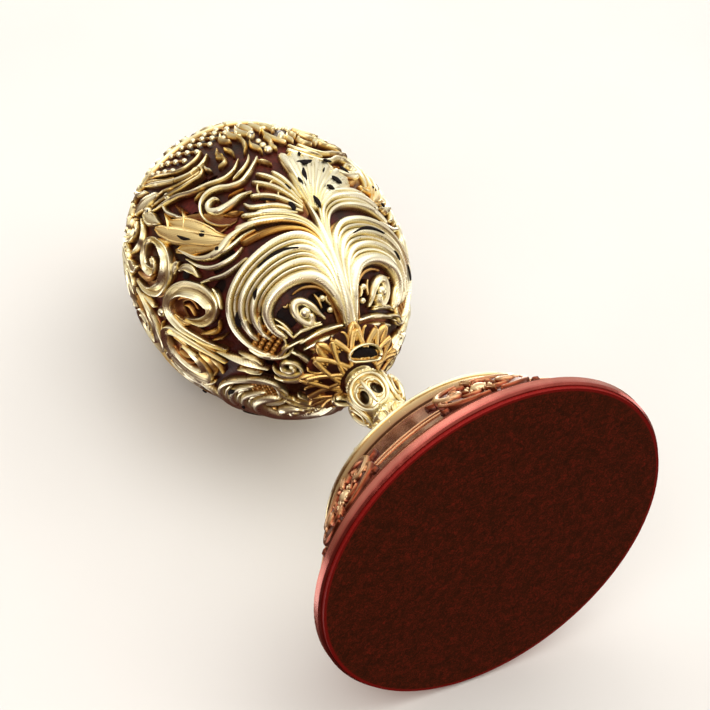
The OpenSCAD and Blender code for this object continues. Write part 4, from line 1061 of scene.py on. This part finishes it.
# crown of leaves on the lid
for i in range(12):
    c = -90 + 30 * i
    q = Quad(EGG, c, 1)
    q.s(crown, [(0, 169.4), (0, 165), (0, 160), (0, 155.4)], [(0, 1.4), (0.3, 3.0), (0.65, 3.6), (1, 0.8)], [(0, 1.7), (0.4, 2.3), (1, 1.8)], "double", caps=(0.6, 1.2), tone=0.92)
    for sg in (-1, 1):
        q.s(crown, [(sg * 7.0, 168.6), (sg * 8.6, 164), (sg * 9.2, 160.4), (sg * 8.6, 157.6)], [(0, 0.8), (0.5, 1.9), (1, 0.7)], 2.0, "ridge",
            end=(1.4, 0.6, 0.8, -sg), tone=0.95)
    q = Quad(EGG, c + 15, 1)
    q.s(crown, [(0, 167.8), (0, 163), (0, 159.6)], [(0, 0.7), (0.5, 1.5), (1, 0.6)], 1.7, "ridge", tone=0.85)
    q.bead(crown, 0, 156.8, 1.25, lift=0.8)

for i in range(6):
    bead(scrolls, EGG, -78 + 60 * i, SEAM - 2.4, 1.3, h=2.5)
    bead(crown, EGG, -90 + 60 * i, SEAM + 1.4, 1.3, h=2.5)
body_leaves = place(leaves.obj("palmette_leaves"), GILT_LEAF_LIT, "vessel")
# darker gilt strokes: painted shade
place(shaded_strokes.obj("painted_shade_leaves"), GILT_SHADED, "vessel")
# dark strips over the leaves: painted shadow for holes and gaps
place(hole_shadows.obj("leaf_painted_hole_shadows"), HOLE_SHADOW_MAT, "vessel")
place(under.obj("backing_leaves"), GILT, "vessel")
body_eyes = place(eyes.obj("eye_scrolls"), GILT, "vessel")
bowl_scrolls = place(scrolls.obj("bowl_scrolls"), GILT, "vessel")
low, high = waves.obj("wave_scrolls_bowl"), waves.obj("wave_scrolls_lid")
cut_at(low, SEAM - 0.06, False)
cut_at(high, SEAM + 0.06, True)
place(low, GILT, "vessel")
place(high, GILT, "lid")
place(crown.obj("lid_crown_leaves"), GILT, "lid")

# ground shells, with the eyes pierced right through
HOLES = []
for b0, sg in QUADS:
    spots = [(46.2, 86.0, 2.9, 2.6), (21.4, 84.4, 3.6, 2.7), (12.6, 82.9, 2.2, 1.9), (59.4, 102.8, 2.9, 1.3), (48.2, 106.2, 4.4, 1.2), (21.2, 79.7, 1.2, 0.6), (8.2, 79.5, 0.9, 0.6),
             (70.4, 133.4, 2.0, 0.8), (31.0, 119.0, 0.8, 0.6), (34, 131.0, 3.0, 0.8), (85.5, 84.5, 1.0, 1.6), (30.0, 129.6, 3.0, 0.8), (44.0, 122.6, 1.3, 1.6), (29.0, 133.4, 1.6, 0.9)]
    spots += [(8.0, 106.8, 1.1, 1.1)] if sg < 0 else [(3.8, 106.4, 0.9, 1.6)]
    for a, z, ra, rz in spots:
        HOLES.append((b0 + sg * a, float(EGG.s_of(z)), ra, rz * 1.15))


def eye_holes(ga, gs):
    f = np.full(ga.shape, 9.0)
    k = EGG.r(gs) * RAD
    for b, s, ra, rs in HOLES:
        d = (ga - b + 180) % 360 - 180
        e = (np.sqrt((d * k / ra) ** 2 + ((gs - s) / rs) ** 2) - 1) * min(ra, rs)
        f = np.minimum(f, e)
    return f


solid = lambda ga, gs: np.full(ga.shape, 9.0)
na = 400
bowl_ground = pierced("bowl_ground_shell", EGG, float(EGG.s_of(76.8)), float(EGG.s_of(SEAM - 0.08)), na, 100, eye_holes, 0.0, -0.5)
place(bowl_ground, GROUND_MAT, "vessel", ["bowl_openwork"])
lid_ground = pierced("lid_ground_shell", EGG, float(EGG.s_of(SEAM + 0.14)), float(EGG.s_of(169.6)), 256, 44, solid, 0.0, -0.5)
place(lid_ground, GROUND_MAT, "lid", ["lid_openwork"])
# both edges at the seam end flat, a hair clear of it, so the gilt rim doesn't show between them
for o, near, flat in ((bowl_ground, lambda z: z > SEAM - 0.3, SEAM - 0.02), (lid_ground, lambda z: z < SEAM + 0.25, SEAM + 0.02)):
    for v in o.data.vertices:
        if near(v.co.z / MM):
            v.co.z = flat * MM

# ------------------------------------------------------------------ lid rosette
ros = Mesh()
RZ = 171.4
for i in range(10):
    c = 36.0 * i
    e = Vector((math.cos(c * RAD), math.sin(c * RAD), 0))
    t = np.array((-math.sin(c * RAD), math.cos(c * RAD), 0.0))
    pts = [(e.x * r, e.y * r, z) for r, z in ((3.4, RZ + 2.2), (5.6, RZ + 2.7), (8.0, RZ + 2.0), (9.9, RZ + 0.5))]
    sweep3d(ros, pts, t, [(0, 1.6), (0.5, 4.4), (0.8, 4.6), (1, 1.6)], [(0, 0.6), (0.5, 0.85), (1, 0.5)], "double", step=0.3, caps=(0.5, 1.4))
for i in range(10):
    c = 36.0 * i + 18
    t = np.array((-math.sin(c * RAD), math.cos(c * RAD), 0.0))
    pts = [(math.cos(c * RAD) * r, math.sin(c * RAD) * r, z) for r, z in ((4.0, RZ + 1.4), (7.5, RZ + 1.2), (10.3, RZ - 0.2))]
    sweep3d(ros, pts, t, [(0, 1.2), (0.6, 3.2), (1, 0.8)], 0.5, "ridge", step=0.3, caps=(0.5, 1.2))
place(ros.obj("lid_rosette_petals"), GILT, "lid", stands_for=["lid_rosette"])
dome = [(0, RZ - 1.6), (9.6, RZ - 1.6), (10.2, RZ - 1.1), (10.0, RZ - 0.3), (7.4, RZ + 1.0), (4.6, RZ + 1.4), (4.1, RZ + 1.6)]
dome += [(3.75 * math.cos(t * RAD), RZ + 2.0 + 3.5 * math.sin(t * RAD)) for t in range(0, 90, 9)] + [(0, RZ + 5.5)]
place(lathe("lid_rosette_boss", dome, 128), GILT_PLAIN, "lid")
pearls = Mesh()
for i in range(20):
    c = 18.0 * i
    ctr = np.array((4.3 * math.cos(c * RAD), 4.3 * math.sin(c * RAD), RZ + 2.2))
    rings, hs = [], []
    for ph in np.linspace(-80, 80, 9) * RAD:
        tt = np.linspace(0, 2 * math.pi, 12, endpoint=False)
        rings.append(ctr + np.stack([0.62 * math.cos(ph) * np.cos(tt), 0.62 * math.cos(ph) * np.sin(tt), np.full(12, 0.62 * math.sin(ph))], -1))
        hs.append(np.full(12, 0.9))
    pearls.grid(np.array(rings), np.array(hs))
place(pearls.obj("lid_rosette_pearls", 60), GILT, "lid")

# ------------------------------------------------------------------ calyx, stem and knop
CAL = Rev(egg_points(-0.05, 3.0))
cal = Mesh()
for i in range(8):
    q = Quad(CAL, -90 + 45 * i, 1)
    for sg in (-1, 1):
        q.s(cal, [(sg * 5.0, 74.25), (sg * 8.0, 74.9), (sg * 7.4, 75.9), (sg * 4.6, 77.0), (0, 78.2)], [(0, 1.2), (0.35, 2.4), (0.75, 2.3), (1, 1.2)],
            [(0, 0.9), (0.5, 1.6), (1, 1.8)], "round", caps=(0.6, 1.2), base=-0.25)
        q.s(cal, [(sg * 17.5, 77.5), (sg * 12.5, 77.0), (sg * 11.0, 76.0), (sg * 15.0, 75.5)], [(0, 0.8), (0.5, 1.7), (1, 0.7)], 1.5, "round", end=(1.1, 0.6, 0.7, sg))
    q.s(cal, [(0, 74.3), (0, 75.8), (0, 77.6)], [(0, 1.6), (0.5, 3.0), (1, 1.2)], [(0, 1.0), (1, 1.4)], "leaf", tone=0.8)
    q.s(cal, [(22.5, 74.3), (22.5, 75.6), (22.5, 76.9)], [(0, 1.6), (0.5, 2.8), (1, 1.2)], [(0, 0.9), (1, 1.3)], "ridge", tone=0.65)
CU = Rev([(5.0, 71.15), (6.2, 71.9), (8.2, 73.0), (10.5, 74.6), (13.5, 76.1), (15.2, 77.3)])
for i in range(12):
    for sg in (-1, 1):
        b_ = -90 + 30 * i
        stroke(cal, CU, path_on(CU, [(b_, 71.35), (b_ + sg * 15, 73.0), (b_ + sg * 30, 76.2)], 0.5), [(0, 1.3), (0.4, 1.5), (1, 1.9)], [(0, 0.8), (1, 1.0)], "round", tone=2.0,
               caps=(0.4, 0.4))
    stroke(cal, CU, path_on(CU, [(b_, 74.6), (b_, 76.4)], 0.4), [(0, 1.0), (0.5, 2.6), (1, 1.6)], 0.8, "ridge", tone=2.1, caps=(0.6, 0.4))
    stroke(cal, CU, path_on(CU, [(b_ + 15, 71.4), (b_ + 15, 72.6)], 0.3), [(0, 1.2), (0.6, 1.7), (1, 0.7)], 0.8, "ridge", tone=2.2, caps=(0.4, 0.6))
# calyx leaves in the darker gilt: painted shade
place(cal.obj("calyx_leaves"), GILT_SHADED, "vessel", stands_for=["calyx"])
# dark cup under the calyx leaves: painted shade between them
cup = [(4.4, 71.0), (5.0, 71.1), (6.2, 71.9), (8.2, 73.0), (8.6, 73.4), (10.5, 74.6), (13.5, 76.1), (14.2, 76.8), (13.4, 77.2), (8.0, 75.0), (4.4, 74.2)]
place(lathe("calyx_cup", cup, 160), GROUND_MAT, "vessel")
br = Mesh()
inset = Mesh()
for c in (-77, 103):
    ring = [(c + 37 * math.cos(t * RAD), 72.75 + 1.2 * math.sin(t * RAD)) for t in range(0, 361, 20)]
    stroke(br, CU, path_on(CU, ring, 0.35), 0.85, 2.2, "round", caps=(0.01, 0.01))
    # near-black ovals inside the rims: painted shadow in the gap under the egg
    stroke(inset, CU, path_on(CU, [(c - 33, 72.75), (c - 16, 72.75), (c, 72.75), (c + 16, 72.75), (c + 33, 72.75)], 0.35), [(0, 1.0), (0.25, 2.7), (0.5, 3.2), (0.75, 2.7), (1, 1.0)], 1.35, "round",
           caps=(0.8, 0.8), tone=0.9)
# dark ovals: painted shadow
place(inset.obj("calyx_painted_shadow_ovals"), HOLE_SHADOW_MAT, "vessel")
place(br.obj("calyx_oval_rims"), GILT, "vessel")

collar = [(2.1, 34.22), (12.6, 34.22), (13.0, 34.45), (13.05, 34.75), (12.7, 35.05), (11.9, 35.15), (11.6, 35.4)]
collar += [(5.2 + 6.1 * (1 - t) ** 2, 35.5 + 2.6 * t) for t in np.linspace(0, 1, 14)]
collar += [(5.35, 38.2), (5.8, 38.35), (5.95, 38.6), (5.8, 38.88), (5.5, 38.98), (2.1, 38.98)]
place(lathe("foot_collar_turned", collar, 192), GILT_PLAIN, "vessel", stands_for=["foot_collar"])
stem = [(2.1, 39.02), (4.4, 39.02), (4.75, 39.2), (4.75, 39.5), (4.4, 39.7), (3.6, 39.95)]
stem += [(3.4 + 1.5 * math.sin(180 * RAD * t) + 0.4 * t, 40 + 6.4 * t) for t in np.linspace(0, 1, 22)]
stem += [(4.1, 46.6), (4.6, 46.75), (4.75, 47.0), (4.6, 47.3), (4.3, 47.48), (2.1, 47.48)]
place(lathe("lower_stem_turned", stem, 160), GILT_PLAIN, "vessel", stands_for=["lower_stem"])

SL = Rev([(3.9 + 2.5 * t ** 1.6, 47.5 + 5.4 * t) for t in np.linspace(0, 1, 20)])
sl = Mesh()
for i in range(8):
    q = Quad(SL, i * 45 - 90, 1)
    q.s(sl, [(0, 47.6), (0, 49.5), (0, 51.5), (0, 52.8)], [(0, 1.6), (0.5, 3.2), (0.8, 3.4), (1, 1.0)], [(0, 0.5), (1, 0.7)], "dish", caps=(0.4, 1.0), base=-0.6)
    q.s(sl, [(0, 47.7), (0, 50), (0, 52.7)], [(0, 0.5), (1, 0.4)], [(0, 0.7), (1, 0.95)], "round")
    q = Quad(SL, i * 45 - 67.5, 1)
    q.s(sl, [(0, 47.7), (0, 50), (0, 52.0)], [(0, 1.0), (0.6, 1.6), (1, 0.5)], 0.35, "ridge", caps=(0.4, 0.8), tone=0.8)
for m in (sl,):
    m.h = [np.clip(h * 2.2 + 0.25, 0, 1) for h in m.h]
place(sl.obj("stem_leaf_cup"), GILT, "vessel", stands_for=["stem_leaves"])
core = [(2.1, 47.52), (4.0, 47.52)] + [(3.9 + 2.3 * t ** 1.6, 47.6 + 5.2 * t) for t in np.linspace(0, 1, 12)] + [(5.6, 53.3), (4.4, 53.48), (2.1, 53.48)]
place(lathe("stem_leaf_core", core, 128), GILT_PLAIN, "vessel")

KM, KH, KD = 61.5, 6.8, 15.6


def knop_r(t):
    return 4.2 + (KD / 2 - 4.2) * np.maximum(np.cos(90 * RAD * t), 0) ** 0.6


KN = Rev([(float(knop_r(t)) - 0.55, KM + KH * t) for t in np.linspace(-0.985, 0.985, 81)])
khole = []
for i in range(4):
    c = -124 + 90 * i
    khole += [(c - 17.5, 59.4, 1.3, 2.05, 14), (c + 17.5, 59.4, 1.3, 2.05, -14), (c + 45, 61.5, 1.2, 4.2, 0)]


def knop_holes(ga, gs):
    f = np.full(ga.shape, 9.0)
    k = KN.r(gs) * RAD
    for b, z, ra, rs, tilt in khole:
        x = ((ga - b + 180) % 360 - 180) * k
        y = gs - float(KN.s_of(z))
        ct, st = math.cos(tilt * RAD), math.sin(tilt * RAD)
        u, v = x * ct - y * st, x * st + y * ct
        f = np.minimum(f, (np.sqrt((u / ra) ** 2 + (v / rs) ** 2) - 1) * min(ra, rs))
    return f


# relief falls towards the knop's holes, so their edges are painted darker: painted shade
knop = pierced("knop_shell", KN, 0.1, KN.len - 0.1, 260, 84, knop_holes, 0.0, -0.7,
               rel=lambda ga, gs: np.clip(0.55 + 0.25 * knop_holes(ga, gs), 0.1, 0.95))
place(knop, GILT, "vessel", stands_for=["knop_cage"])
kn = Mesh()
for i in range(4):
    c = -124 + 90 * i

    def K(x, z):
        return (c + x / (max(float(KN.r(KN.s_of(z))), 4.0) * RAD), z)

    loop = [(0, 55.5), (2.7, 56.0), (4.5, 58.0), (5.1, 61.0), (4.4, 63.8), (2.4, 65.7), (0, 66.3), (-2.4, 65.7), (-4.4, 63.8), (-5.1, 61.0), (-4.5, 58.0),
            (-2.7, 56.0), (0, 55.5)]
    stroke(kn, KN, path_on(KN, [K(*p) for p in loop], 0.3), 1.15, 0.8, "round", caps=(0.01, 0.01))
    for sg in (-1, 1):
        ring = [(sg * 0.5, 57.4), (sg * 2.0, 57.0), (sg * 3.5, 58.2), (sg * 3.7, 60.4), (sg * 2.7, 62.0), (sg * 1.2, 62.3), (sg * 0.4, 61.2)]
        stroke(kn, KN, path_on(KN, [K(*p) for p in ring], 0.3), 0.6, 0.7, "round")
        stroke(kn, KN, path_on(KN, [K(sg * 0.5, 63.2), K(sg * 1.8, 63.4), K(sg * 2.9, 62.8)], 0.25, end=(0.7, 0.3, 0.9, -sg)), 0.6, 0.65, "round")
        stroke(kn, KN, path_on(KN, [K(sg * 5.6, 57.0), K(sg * 6.1, 59.5), K(sg * 6.1, 63.0), K(sg * 5.2, 66.2)], 0.3), [(0, 0.5), (0.5, 0.9), (1, 0.5)], 0.6, "ridge")
    stroke(kn, KN, path_on(KN, [K(0, 56.0), K(0, 58), K(0, 61), K(0, 65.4)], 0.3), [(0, 0.9), (0.4, 1.5), (0.8, 0.9), (1, 0.4)], 0.95, "round")
kn.h = [np.clip(h * 2.6 + 0.2, 0, 1) for h in kn.h]
place(kn.obj("knop_scrolls"), GILT, "vessel")
for nm, z0, z1 in (("knop_lower_ring", 53.5, 54.7), ("knop_upper_ring", 68.3, 69.5)):
    zc = (z0 + z1) / 2
    ring = [(2.1, z0 + 0.02), (4.7, z0 + 0.02), (4.9, z0 + 0.25), (4.55, zc), (4.9, z1 - 0.25), (4.7, z1 - 0.02), (2.1, z1 - 0.02)]
    o = lathe(nm + "_turned", ring, 128)
    place(o, GILT_PLAIN, "vessel", stands_for=[nm])
    M = Mesh()
    for i in range(26):
        t = 2 * math.pi * i / 26
        ctr = np.array((4.72 * math.cos(t), 4.72 * math.sin(t), zc))
        rings = []
        for ph in np.linspace(-80, 80, 7) * RAD:
            tt = np.linspace(0, 2 * math.pi, 10, endpoint=False)
            rings.append(ctr + 0.5 * np.stack([math.cos(ph) * np.cos(tt), math.cos(ph) * np.sin(tt), np.full(10, math.sin(ph))], -1))
        M.grid(np.array(rings), np.full((7, 10), 0.9))
    place(M.obj(nm + "_pearls", 60), GILT, "vessel")

# ------------------------------------------------------------------ foot
arc = lambda z0, rb: [(cone_r(z0 + rb * math.sin(t * RAD)) + rb * math.cos(t * RAD), z0 + rb * math.sin(t * RAD)) for t in range(-90, 91, 15)]
outer = [(49.9, 4.22), (50.0, 4.5), (49.9, 5.2), (49.4, 5.5), (48.75, 5.9), (cone_r(6.1), 6.1), (cone_r(8.0), 8.0)]
outer += arc(10.4, 0.5) + arc(12.4, 0.5)
outer += [(cone_r(z), z) for z in (13.2, 15, 17, 19, 21, 21.9)] + [(cone_r(22.25) + 0.05, 22.2), (cone_r(22.4) - 0.25, 22.45), (cone_r(22.4) - 1.2, 22.75), (cone_r(22.4) - 1.5, 23.2),
                                                                    (cone_r(22.4) - 1.5, 23.6), (cone_r(24.2) - 0.55, 23.9)]
outer += [(26.5 + (cone_r(24.2) - 26.5) * math.cos(t * RAD), 24.2 + 6.4 * math.sin(t * RAD)) for t in range(0, 91, 6)]
outer += [(24.2, 31.1), (21.6, 31.8), (19, 32.55), (16.2, 33.4), (13.5, 34.18)]
inner = [(2.1, 34.18), (2.1, 33.0), (13.5, 33.0), (19, 31.3), (25.3, 29.4)]
inner += [(25.3 + (cone_r(24.2) - 26.5) * math.cos(t * RAD), 23.0 + 6.4 * math.sin(t * RAD)) for t in range(80, -1, -10)]
inner += [(48.6, 4.22)]
place(lathe("foot_spun_shell", outer + inner, 320, smooth=28), FOOT, "vessel", stands_for=["foot_shell"])

DOME = Rev([p for p in outer if p[1] > 24.1])
dome_leaves = Mesh()
for i in range(16):
    q = Quad(DOME, 22.5 * i - 90, 1)
    q.s(dome_leaves, [(0, 34.0), (0, 33.2), (0, 32.2), (0, 31.3), (0, 30.75)], [(0, 1.8), (0.35, 4.4), (0.7, 5.4), (0.9, 3.0), (1, 0.8)], [(0, 0.7), (0.5, 1.15), (1, 0.7)], "double", caps=(0.6, 1.6), base=-0.25)
    for sg in (-1, 1):
        q.s(dome_leaves, [(sg * 8.2, 32.9), (sg * 8.6, 32.0), (sg * 8.8, 31.2), (sg * 7.4, 30.7)], [(0, 0.6), (0.5, 1.3), (1, 0.6)], 0.85, "round", end=(1.0, 0.5, 0.8, sg), base=-0.25)
    q = Quad(DOME, 22.5 * i - 78.75, 1)
    q.s(dome_leaves, [(0, 33.2), (0, 32.2), (0, 31.3), (0, 30.3)], [(0, 0.6), (0.5, 1.6), (1, 0.6)], [(0, 0.6), (0.5, 0.9), (1, 0.6)], "ridge", base=-0.25)
    q.bead(dome_leaves, 0, 29.4, 1.0, lift=0.1)
q = Quad(DOME, 0, 1)
q.s(dome_leaves, [(t, 27.6) for t in range(0, 361, 30)], 1.0, 0.8, "round", caps=(0.01, 0.01), base=-0.25)
dome_leaves.h = [np.clip(h * 2.2 + 0.25, 0, 1) for h in dome_leaves.h]
place(dome_leaves.obj("foot_dome_leaves"), GILT, "vessel")

CONE = Rev([(cone_r(z), z) for z in np.linspace(4.2, 22.4, 60)])
cart = Mesh()
for i in range(6):
    c = -94 + 60 * i

    def F(x, z, c=c):
        return (c + x / (float(cone_r(z)) * RAD), z)

    def fs(pts, w, h, prof="round", end=None, **kw):
        h = [(t, v * 0.78) for t, v in h] if isinstance(h, list) else h * 0.78
        stroke(cart, CONE, path_on(CONE, [F(*p) for p in pts], 0.4, end=end), w, h, prof, **kw)

    fs([(0, 5.8), (0, 9), (0, 13), (0, 18), (0, 21.9)], [(0, 8), (0.3, 20.0), (0.5, 22.0), (0.75, 17), (1, 5)], 0.5, "dish", tone=0.8, caps=(1, 1))
    for sg in (-1, 1):
        fs([(sg * 1.4, 21.4), (sg * 4.6, 21.0), (sg * 8.2, 19.2), (sg * 10.4, 16.0), (sg * 9.6, 13.2)], [(0, 1.0), (0.4, 2.2), (0.8, 2.0), (1, 1.3)], [(0, 1.7), (0.5, 2.5), (1, 2.1)],
           "round", end=(2.3, 0.8, 1.2, -sg))
        fs([(sg * 1.2, 6.3), (sg * 4.4, 6.4), (sg * 8.2, 7.6), (sg * 11.2, 9.8), (sg * 11.8, 12.0)], [(0, 1.0), (0.5, 2.0), (1, 1.1)], [(0, 1.5), (1, 2.0)], "round",
           end=(1.9, 0.7, 1.1, sg))
        fs([(sg * 1.0, 18.2), (sg * 3.2, 19.2), (sg * 5.4, 18.2)], [(0, 0.7), (0.5, 1.6), (1, 0.6)], 1.8, "ridge", end=(1.1, 0.5, 0.8, -sg))
        fs([(sg * 3.4, 16.6), (sg * 4.6, 14.4), (sg * 3.8, 11.9)], [(0, 0.6), (0.5, 1.3), (1, 0.6)], 1.6, "ridge")
        fs([(sg * 0.8, 10.4), (sg * 2.8, 9.4), (sg * 5.2, 9.6), (sg * 7.0, 10.8)], [(0, 0.6), (0.5, 1.4), (1, 0.6)], 1.7, "ridge")
        fs([(sg * 10.6, 15.4), (sg * 12.4, 16.4), (sg * 13.0, 18.0)], [(0, 0.8), (0.5, 1.4), (1, 0.5)], 1.5, "ridge", tone=0.8)
        fs([(sg * 11.9, 8.6), (sg * 13.4, 8.0), (sg * 14.4, 9.0)], [(0, 0.7), (0.5, 1.2), (1, 0.5)], 1.3, "ridge", tone=0.8)
    fs([(0, 16.9), (0, 19), (0, 22.1)], [(0, 1.0), (0.5, 2.6), (1, 0.8)], 2.3, "double")
    fs([(0, 11.0), (0, 8.6), (0, 5.9)], [(0, 1.0), (0.5, 2.3), (1, 0.7)], 2.0, "double")
    bead(cart, CONE, c, 14.0, 2.3, h=1.5, lift=0.3, nseg=20)
    for k in range(12):
        t = 2 * math.pi * k / 12
        b_, z_ = F(3.2 * math.cos(t), 14.0 + 2.55 * math.sin(t))
        bead(cart, CONE, b_, z_, 0.5, lift=0.6, nseg=8)
place(cart.obj("foot_cartouche_scrolls"), GILT_FOOT_SHADED, "vessel", stands_for=["foot_cartouches"])

# ------------------------------------------------------------------ finishes of the CAD pieces that stay
for n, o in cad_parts.items():
    m = {"base_felt": FELT, "base_ring": RING, "bowl_liner": LINER, "lid_liner": LINER, "upper_neck": GILT_PLAIN, "knop_core": GILT_PLAIN,
         "bowl_boss": GILT_PLAIN, "bowl_rim": GILT_PLAIN, "lid_bezel": GILT_PLAIN}.get(n, STEEL)
    for i in range(len(o.material_slots)):
        o.material_slots[i].material = m
    if not o.material_slots:
        o.data.materials.append(m)

# ------------------------------------------------------------------ stage, light and camera
scene = bpy.context.scene


def fading_floor(name, co, r0, r1):
    """Pale floor, seen from its upper side only, that thins out with distance from the vessel."""
    me = bpy.data.meshes.new(name)
    me.from_pydata(co, [], [(0, 1, 2, 3)])
    o = bpy.data.objects.new(name, me)
    scene.collection.objects.link(o)
    m = bpy.data.materials.new(name + "_paint")
    m.use_nodes = True
    nt = m.node_tree
    nt.nodes.clear()
    out = nt.nodes.new("ShaderNodeOutputMaterial")
    d = nt.nodes.new("ShaderNodeBsdfPrincipled")
    tc = nt.nodes.new("ShaderNodeTexCoord").outputs["Object"]
    n = tex(nt, "ShaderNodeTexNoise", 9.0, tc, Detail=3.0)
    link(nt, ramp(nt, n.outputs["Fac"], [(0.3, (0.80, 0.79, 0.775)), (0.7, (0.84, 0.83, 0.815))]), d.inputs["Base Color"])
    d.inputs["Roughness"].default_value = 0.9
    d.inputs["Specular IOR Level"].default_value = 0.1
    tr = nt.nodes.new("ShaderNodeBsdfTransparent")
    geo = nt.nodes.new("ShaderNodeNewGeometry")
    off = nt.nodes.new("ShaderNodeVectorMath")
    off.operation = "DISTANCE"
    off.inputs[1].default_value = (0, 0, 0.085)
    link(nt, geo.outputs["Position"], off.inputs[0])
    fade = val(nt, off.outputs["Value"], 0.0, 1.0, r0, r1)
    f = math_(nt, "MAXIMUM", fade, geo.outputs["Backfacing"])
    mx = nt.nodes.new("ShaderNodeMixShader")
    link(nt, f, mx.inputs[0])
    link(nt, d.outputs[0], mx.inputs[1])
    link(nt, tr.outputs[0], mx.inputs[2])
    link(nt, mx.outputs[0], out.inputs[0])
    me.materials.append(m)
    o.visible_shadow = False
    o.visible_glossy = False
    o.visible_diffuse = False
    return o


E = 0.75
fading_floor("studio_floor", [(-E, -E, -0.0002), (E, -E, -0.0002), (E, E, -0.0002), (-E, E, -0.0002)], 0.22, 0.6)
# the plane that the vessel lies on in the main view, under the foot rim and the egg
d = Vector((0, -12.4, 128.0)).normalized()
o0 = Vector((0, 51.6, 2.0)) * MM
back_plane = [o0 + Vector((-E, 0, 0)) - d * E, o0 + Vector((-E, 0, 0)) + d * E, o0 + Vector((E, 0, 0)) + d * E, o0 + Vector((E, 0, 0)) - d * E]
bp = fading_floor("lying_floor", [tuple(v) for v in back_plane], 0.22, 0.6)
if bp.data.polygons[0].normal.y > 0:
    bp.data.flip_normals()

world = bpy.data.worlds.new("studio")
scene.world = world
world.use_nodes = True
nt = world.node_tree
nt.nodes.clear()
wo = nt.nodes.new("ShaderNodeOutputWorld")
bg = nt.nodes.new("ShaderNodeBackground")
cam_bg = nt.nodes.new("ShaderNodeBackground")
cam_bg.inputs["Color"].default_value = (0.86, 0.85, 0.835, 1)
cam_bg.inputs["Strength"].default_value = 1.0
tc = nt.nodes.new("ShaderNodeTexCoord")
dt = nt.nodes.new("ShaderNodeVectorMath")
dt.operation = "DOT_PRODUCT"
up = Vector((0.18, -0.88, 0.44)).normalized()
dt.inputs[1].default_value = up
nt.links.new(tc.outputs["Generated"], dt.inputs[0])
col = ramp(nt, val(nt, dt.outputs["Value"], 0.0, 1.0, -1.0, 1.0), [(0.0, (0.055, 0.010, 0.008)), (0.38, (0.09, 0.03, 0.022)), (0.5, (0.31, 0.21, 0.15)), (0.62, (0.68, 0.62, 0.54)),
                                                                      (1.0, (1.0, 0.97, 0.92))])
nt.links.new(col, bg.inputs["Color"])
bg.inputs["Strength"].default_value = 0.95
lp = nt.nodes.new("ShaderNodeLightPath")
mx = nt.nodes.new("ShaderNodeMixShader")
nt.links.new(lp.outputs["Is Camera Ray"], mx.inputs[0])
nt.links.new(bg.outputs[0], mx.inputs[1])
nt.links.new(cam_bg.outputs[0], mx.inputs[2])
nt.links.new(mx.outputs[0], wo.inputs[0])

C = Vector((0, 0, 0.086))


def area(name, direction, dist, size, power, color=(1, 1, 1)):
    li = bpy.data.lights.new(name, "AREA")
    li.shape = "RECTANGLE"
    li.size, li.size_y = size
    li.energy = power
    li.color = color
    o = bpy.data.objects.new(name, li)
    scene.collection.objects.link(o)
    p = C + Vector(direction).normalized() * dist
    o.location = p
    o.rotation_euler = (C - p).to_track_quat("-Z", "Y").to_euler()
    return o


area("key", (0.50, -0.86, -0.10), 0.9, (1.1, 0.9), 4.2, (1.0, 0.985, 0.95))
area("top_strip", (-0.15, -1.0, 0.45), 0.95, (0.9, 0.26), 1.4, (1.0, 0.98, 0.95))
area("front_fill", (-0.60, -0.62, -0.55), 1.0, (0.6, 0.6), 3.1, (1.0, 0.96, 0.92))
area("side_strip", (0.95, 0.15, -0.35), 0.9, (0.25, 0.8), 1.5, (1.0, 0.97, 0.93))
area("overhead", (0.1, 0.15, 1.0), 0.95, (0.4, 0.4), 1.5, (1.0, 0.99, 0.97))
area("right_back", (0.55, 0.30, 0.78), 0.95, (0.6, 0.5), 3.0, (1.0, 0.97, 0.94))
area("back_fill", (-0.7, 0.75, 0.25), 1.0, (0.6, 0.7), 3.0, (1.0, 0.97, 0.94))

cam_data = bpy.data.cameras.new("photo_camera")
cam = bpy.data.objects.new("photo_camera", cam_data)
scene.collection.objects.link(cam)
loc = Vector((-0.3174, -0.4706, -0.3858))
aim = Vector((0.004, 0.0, 0.080))
fwd = (aim - loc).normalized()
upv = Vector((0.199, -0.832, 0.519))
upv = (upv - fwd * upv.dot(fwd)).normalized()
rgt = fwd.cross(upv).normalized()
cam.matrix_world = Matrix(((rgt.x, upv.x, -fwd.x, loc.x), (rgt.y, upv.y, -fwd.y, loc.y), (rgt.z, upv.z, -fwd.z, loc.z), (0, 0, 0, 1)))
cam_data.lens = 135.0
cam_data.sensor_width = 36.0
cam_data.clip_start, cam_data.clip_end = 0.01, 20.0
scene.camera = cam
scene.view_settings.view_transform = "Standard"
scene.view_settings.look = "None"
